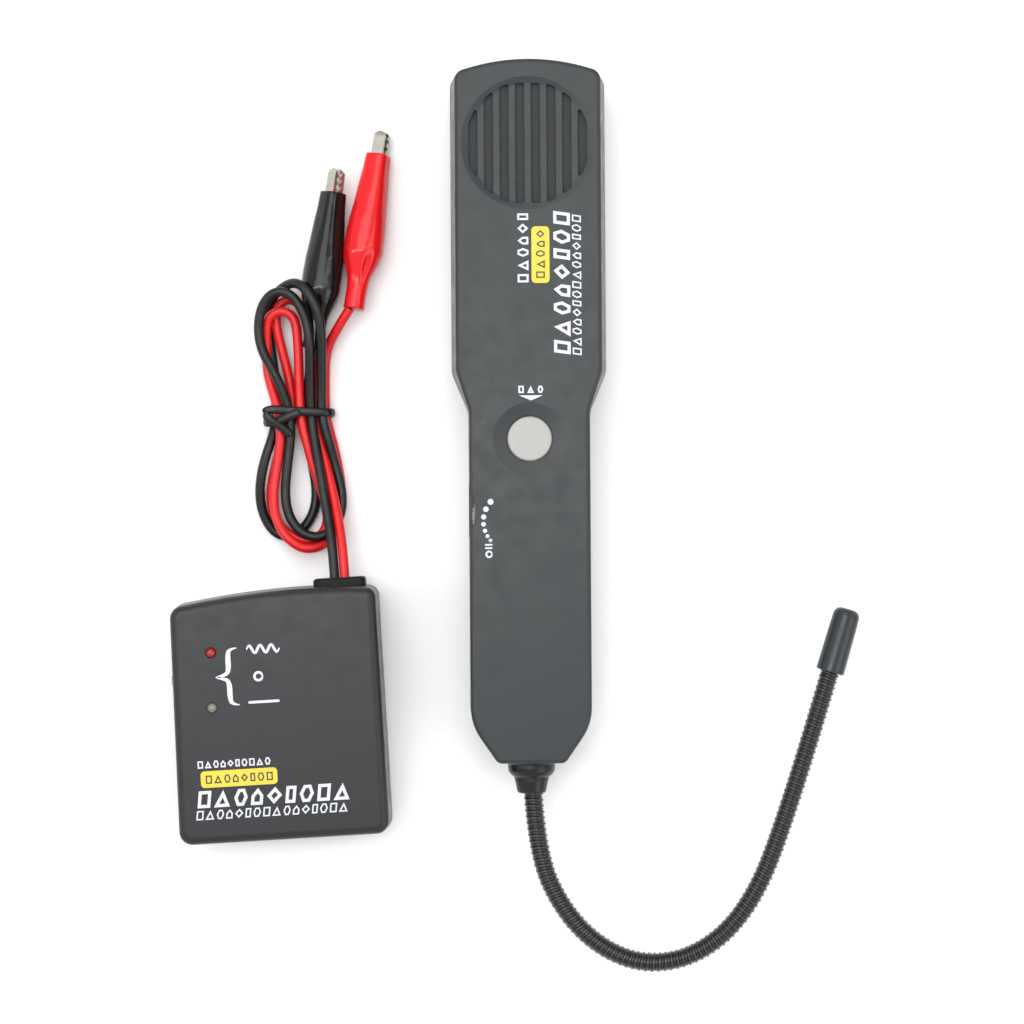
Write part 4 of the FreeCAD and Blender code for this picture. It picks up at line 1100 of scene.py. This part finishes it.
def make_receiver_marks(white, yellow, dark):
    """Printing and a badge below the grille, and the marks of the button and the thumbwheel."""
    marks = Marks(upright_placing(), RECEIVER_TOP)
    marks.row(38.9, 59.6, 0.0, 3.3, 0.6)
    marks.row(17.2, 59.6, -12.5, -7.5, BOLD, lean=0.7)
    marks.row(16.9, 58.8, -15.8, -13.1, FINE, lean=0.4)
    marks.finish("receiver_white_marks", white, "receiver", "button_grey")
    badge = Marks(upright_placing(), RECEIVER_TOP)
    badge.plate(38.7, 55.7, -6.3, -0.9, BADGE_CORNER)
    badge.finish("receiver_badge", yellow, "receiver", "button_grey")
    lines = Marks(upright_placing(), RECEIVER_TOP)
    lines.row(40.2, 54.6, -4.9, -2.3, FINE, lift=INK_OVERPRINT)
    lines.finish("receiver_badge_lines", dark, "receiver", "component_black")
    dial = Marks(Matrix.Identity(4), RECEIVER_TOP)
    dial.row(-3.3, 4.2, 5.7, 7.9, 0.5)
    dial.shape([(-3.1, 5.0), (0.5, 3.5), (4.1, 5.0)])
    for index in range(DIAL_DOTS):
        turned = DIAL_START + DIAL_STEP * index + DIAL_STEP_GROWTH * index ** 2
        angle = math.radians(180 - turned)
        x = DIAL_CENTRE[0] + DIAL_RADIUS * math.cos(angle)
        y = DIAL_CENTRE[1] + DIAL_RADIUS * math.sin(angle)
        dial.dot(x, y, DIAL_DOT_RADIUS + DIAL_DOT_GROWTH * index)
    dial.ribbon(circle_points(-12.4, -42.6, 0.85), 0.55)
    dial.bar(-13.6, -11.4, -41.0, -40.5)
    dial.bar(-13.6, -11.4, -40.0, -39.5)
    dial.finish("receiver_control_marks", white, "receiver", "button_grey")


def brace_points():
    """Curly brace that points left, as the middle line of its stroke."""
    upper = [(-12.0, 21.1), (-14.4, 20.9), (-14.8, 18.4), (-14.7, 15.0), (-15.4, 13.1), (-18.6, 12.6)]
    route = [(x * MM, y * MM, 0) for x, y in upper]
    top = [(point.x / MM, point.y / MM) for point in line_along(route)]
    bottom = [(x, BRACE_MIRROR - y) for x, y in reversed(top)]
    return top + bottom[1:]


def wave_points():
    """Three turns of a wave."""
    points = []
    for step in range(WAVE_TURNS * WAVE_STEPS_PER_TURN + 1):
        rise = math.sin(math.tau * step / WAVE_STEPS_PER_TURN)
        points.append((WAVE_START[0] + WAVE_STEP * step, WAVE_START[1] + WAVE_HEIGHT * rise))
    return points


def make_transmitter_marks(white, yellow, dark):
    """A brace with three mode signs beside the lamps, and lines of printing and a badge below."""
    marks = Marks(BOX_PLACING, BOX_TOP)
    marks.ribbon(brace_points(), 0.6, swell=1.0)
    marks.ribbon(wave_points(), 0.8)
    marks.ribbon(circle_points(-5.9, 12.2, 1.2), 0.75)
    marks.plate(-9.4, 0.0, 4.1, 4.9, 0.35)
    marks.row(-25.8, -3.8, -14.5, -12.3, FINE)
    marks.row(-26.6, 19.2, -26.4, -21.3, BOLD, lean=0.7)
    marks.row(-27.2, 18.4, -30.0, -27.2, FINE, lean=0.4)
    marks.finish("transmitter_white_marks", white, "transmitter", "button_grey")
    badge = Marks(BOX_PLACING, BOX_TOP)
    badge.plate(-25.1, -2.0, -20.4, -15.4, BADGE_CORNER)
    badge.finish("transmitter_badge", yellow, "transmitter", "button_grey")
    lines = Marks(BOX_PLACING, BOX_TOP)
    lines.row(-23.6, -3.4, -19.2, -16.7, FINE, lift=INK_OVERPRINT)
    lines.finish("transmitter_badge_lines", dark, "transmitter", "component_black")


# ---------------------------------------------------------------- studio
FLOOR_REACH = 6
FLOOR_SHADE = (0.86, 0.86, 0.86, 1)
FLOOR_PALER = (0.88, 0.88, 0.88, 1)
WORLD_STRENGTH = 0.85


def make_floor():
    mesh = bmesh.new()
    bmesh.ops.create_grid(mesh, x_segments=8, y_segments=8, size=FLOOR_REACH)
    finish = Finish("studio paper", FLOOR_SHADE, 0.85)
    finish.tint(finish.levels(finish.noise(180 * MM), 0, 1), FLOOR_PALER)
    data = bpy.data.meshes.new("floor")
    mesh.to_mesh(data)
    mesh.free()
    data.materials.append(finish.material)
    floor = bpy.data.objects.new("floor", data)
    scene.collection.objects.link(floor)


def soft_box(name, place, size, power, length=None):
    data = bpy.data.lights.new(name, "AREA")
    data.shape = "RECTANGLE"
    data.size = size
    data.size_y = length or size
    data.energy = power
    light = bpy.data.objects.new(name, data)
    light.location = place
    light.rotation_euler = (-Vector(place)).to_track_quat("-Z", "Y").to_euler()
    scene.collection.objects.link(light)


def make_studio():
    """Even white surroundings with one large light, one from the side and two strips."""
    world = bpy.data.worlds.new("studio")
    world.use_nodes = True
    background = world.node_tree.nodes["Background"]
    background.inputs["Color"].default_value = (1, 1, 1, 1)
    background.inputs["Strength"].default_value = WORLD_STRENGTH
    scene.world = world
    soft_box("overhead", (-0.25, 0.55, 1.5), 1.3, 14)
    soft_box("side", (1.1, -0.5, 0.9), 0.8, 5)
    soft_box("left strip", (-0.62, 0.0, 1.0), 0.12, 4, 1.6)
    soft_box("right strip", (0.42, 0.1, 0.95), 0.1, 2, 1.6)
    scene.view_settings.view_transform = "Standard"


make_camera()
black_lead = make_lead("black_lead", BLACK_TAIL + BLACK_HANK + BLACK_CLIP_END)
red_lead = make_lead("red_lead", RED_TAIL + RED_HANK + RED_CLIP_END)

finishes = make_finishes()
white_ink = printing_ink("white ink", paint(198, 200, 205))
yellow_ink = printing_ink("yellow ink", paint(204, 186, 46))
dark_ink = printing_ink("dark ink", paint(44, 44, 40))
speaker_cloth = woven_cloth("dust cloth", paint(52, 54, 56))

dress_nodes(finishes)
make_gooseneck(finishes["neck_rubber"])
for colour, tip, heading, pitch, roll in BOOTS:
    placing = clip_frame(tip, heading, pitch, roll)
    make_boot(colour, placing, finishes[f"boot_{colour}"])
    make_spring(colour, placing, finishes["steel"])
tie = make_tie(finishes["tie_black"])
make_speaker_cloth(speaker_cloth)
make_receiver_marks(white_ink, yellow_ink, dark_ink)
make_transmitter_marks(white_ink, yellow_ink, dark_ink)

for colour, lead in (("black", black_lead), ("red", red_lead)):
    lead.data.materials.append(finishes[f"lead_{colour}"])
    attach(lead, "transmitter")
    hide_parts(f"{colour}_lead_tail", f"{colour}_clip_lead", "lead_hank")

make_floor()
make_studio()
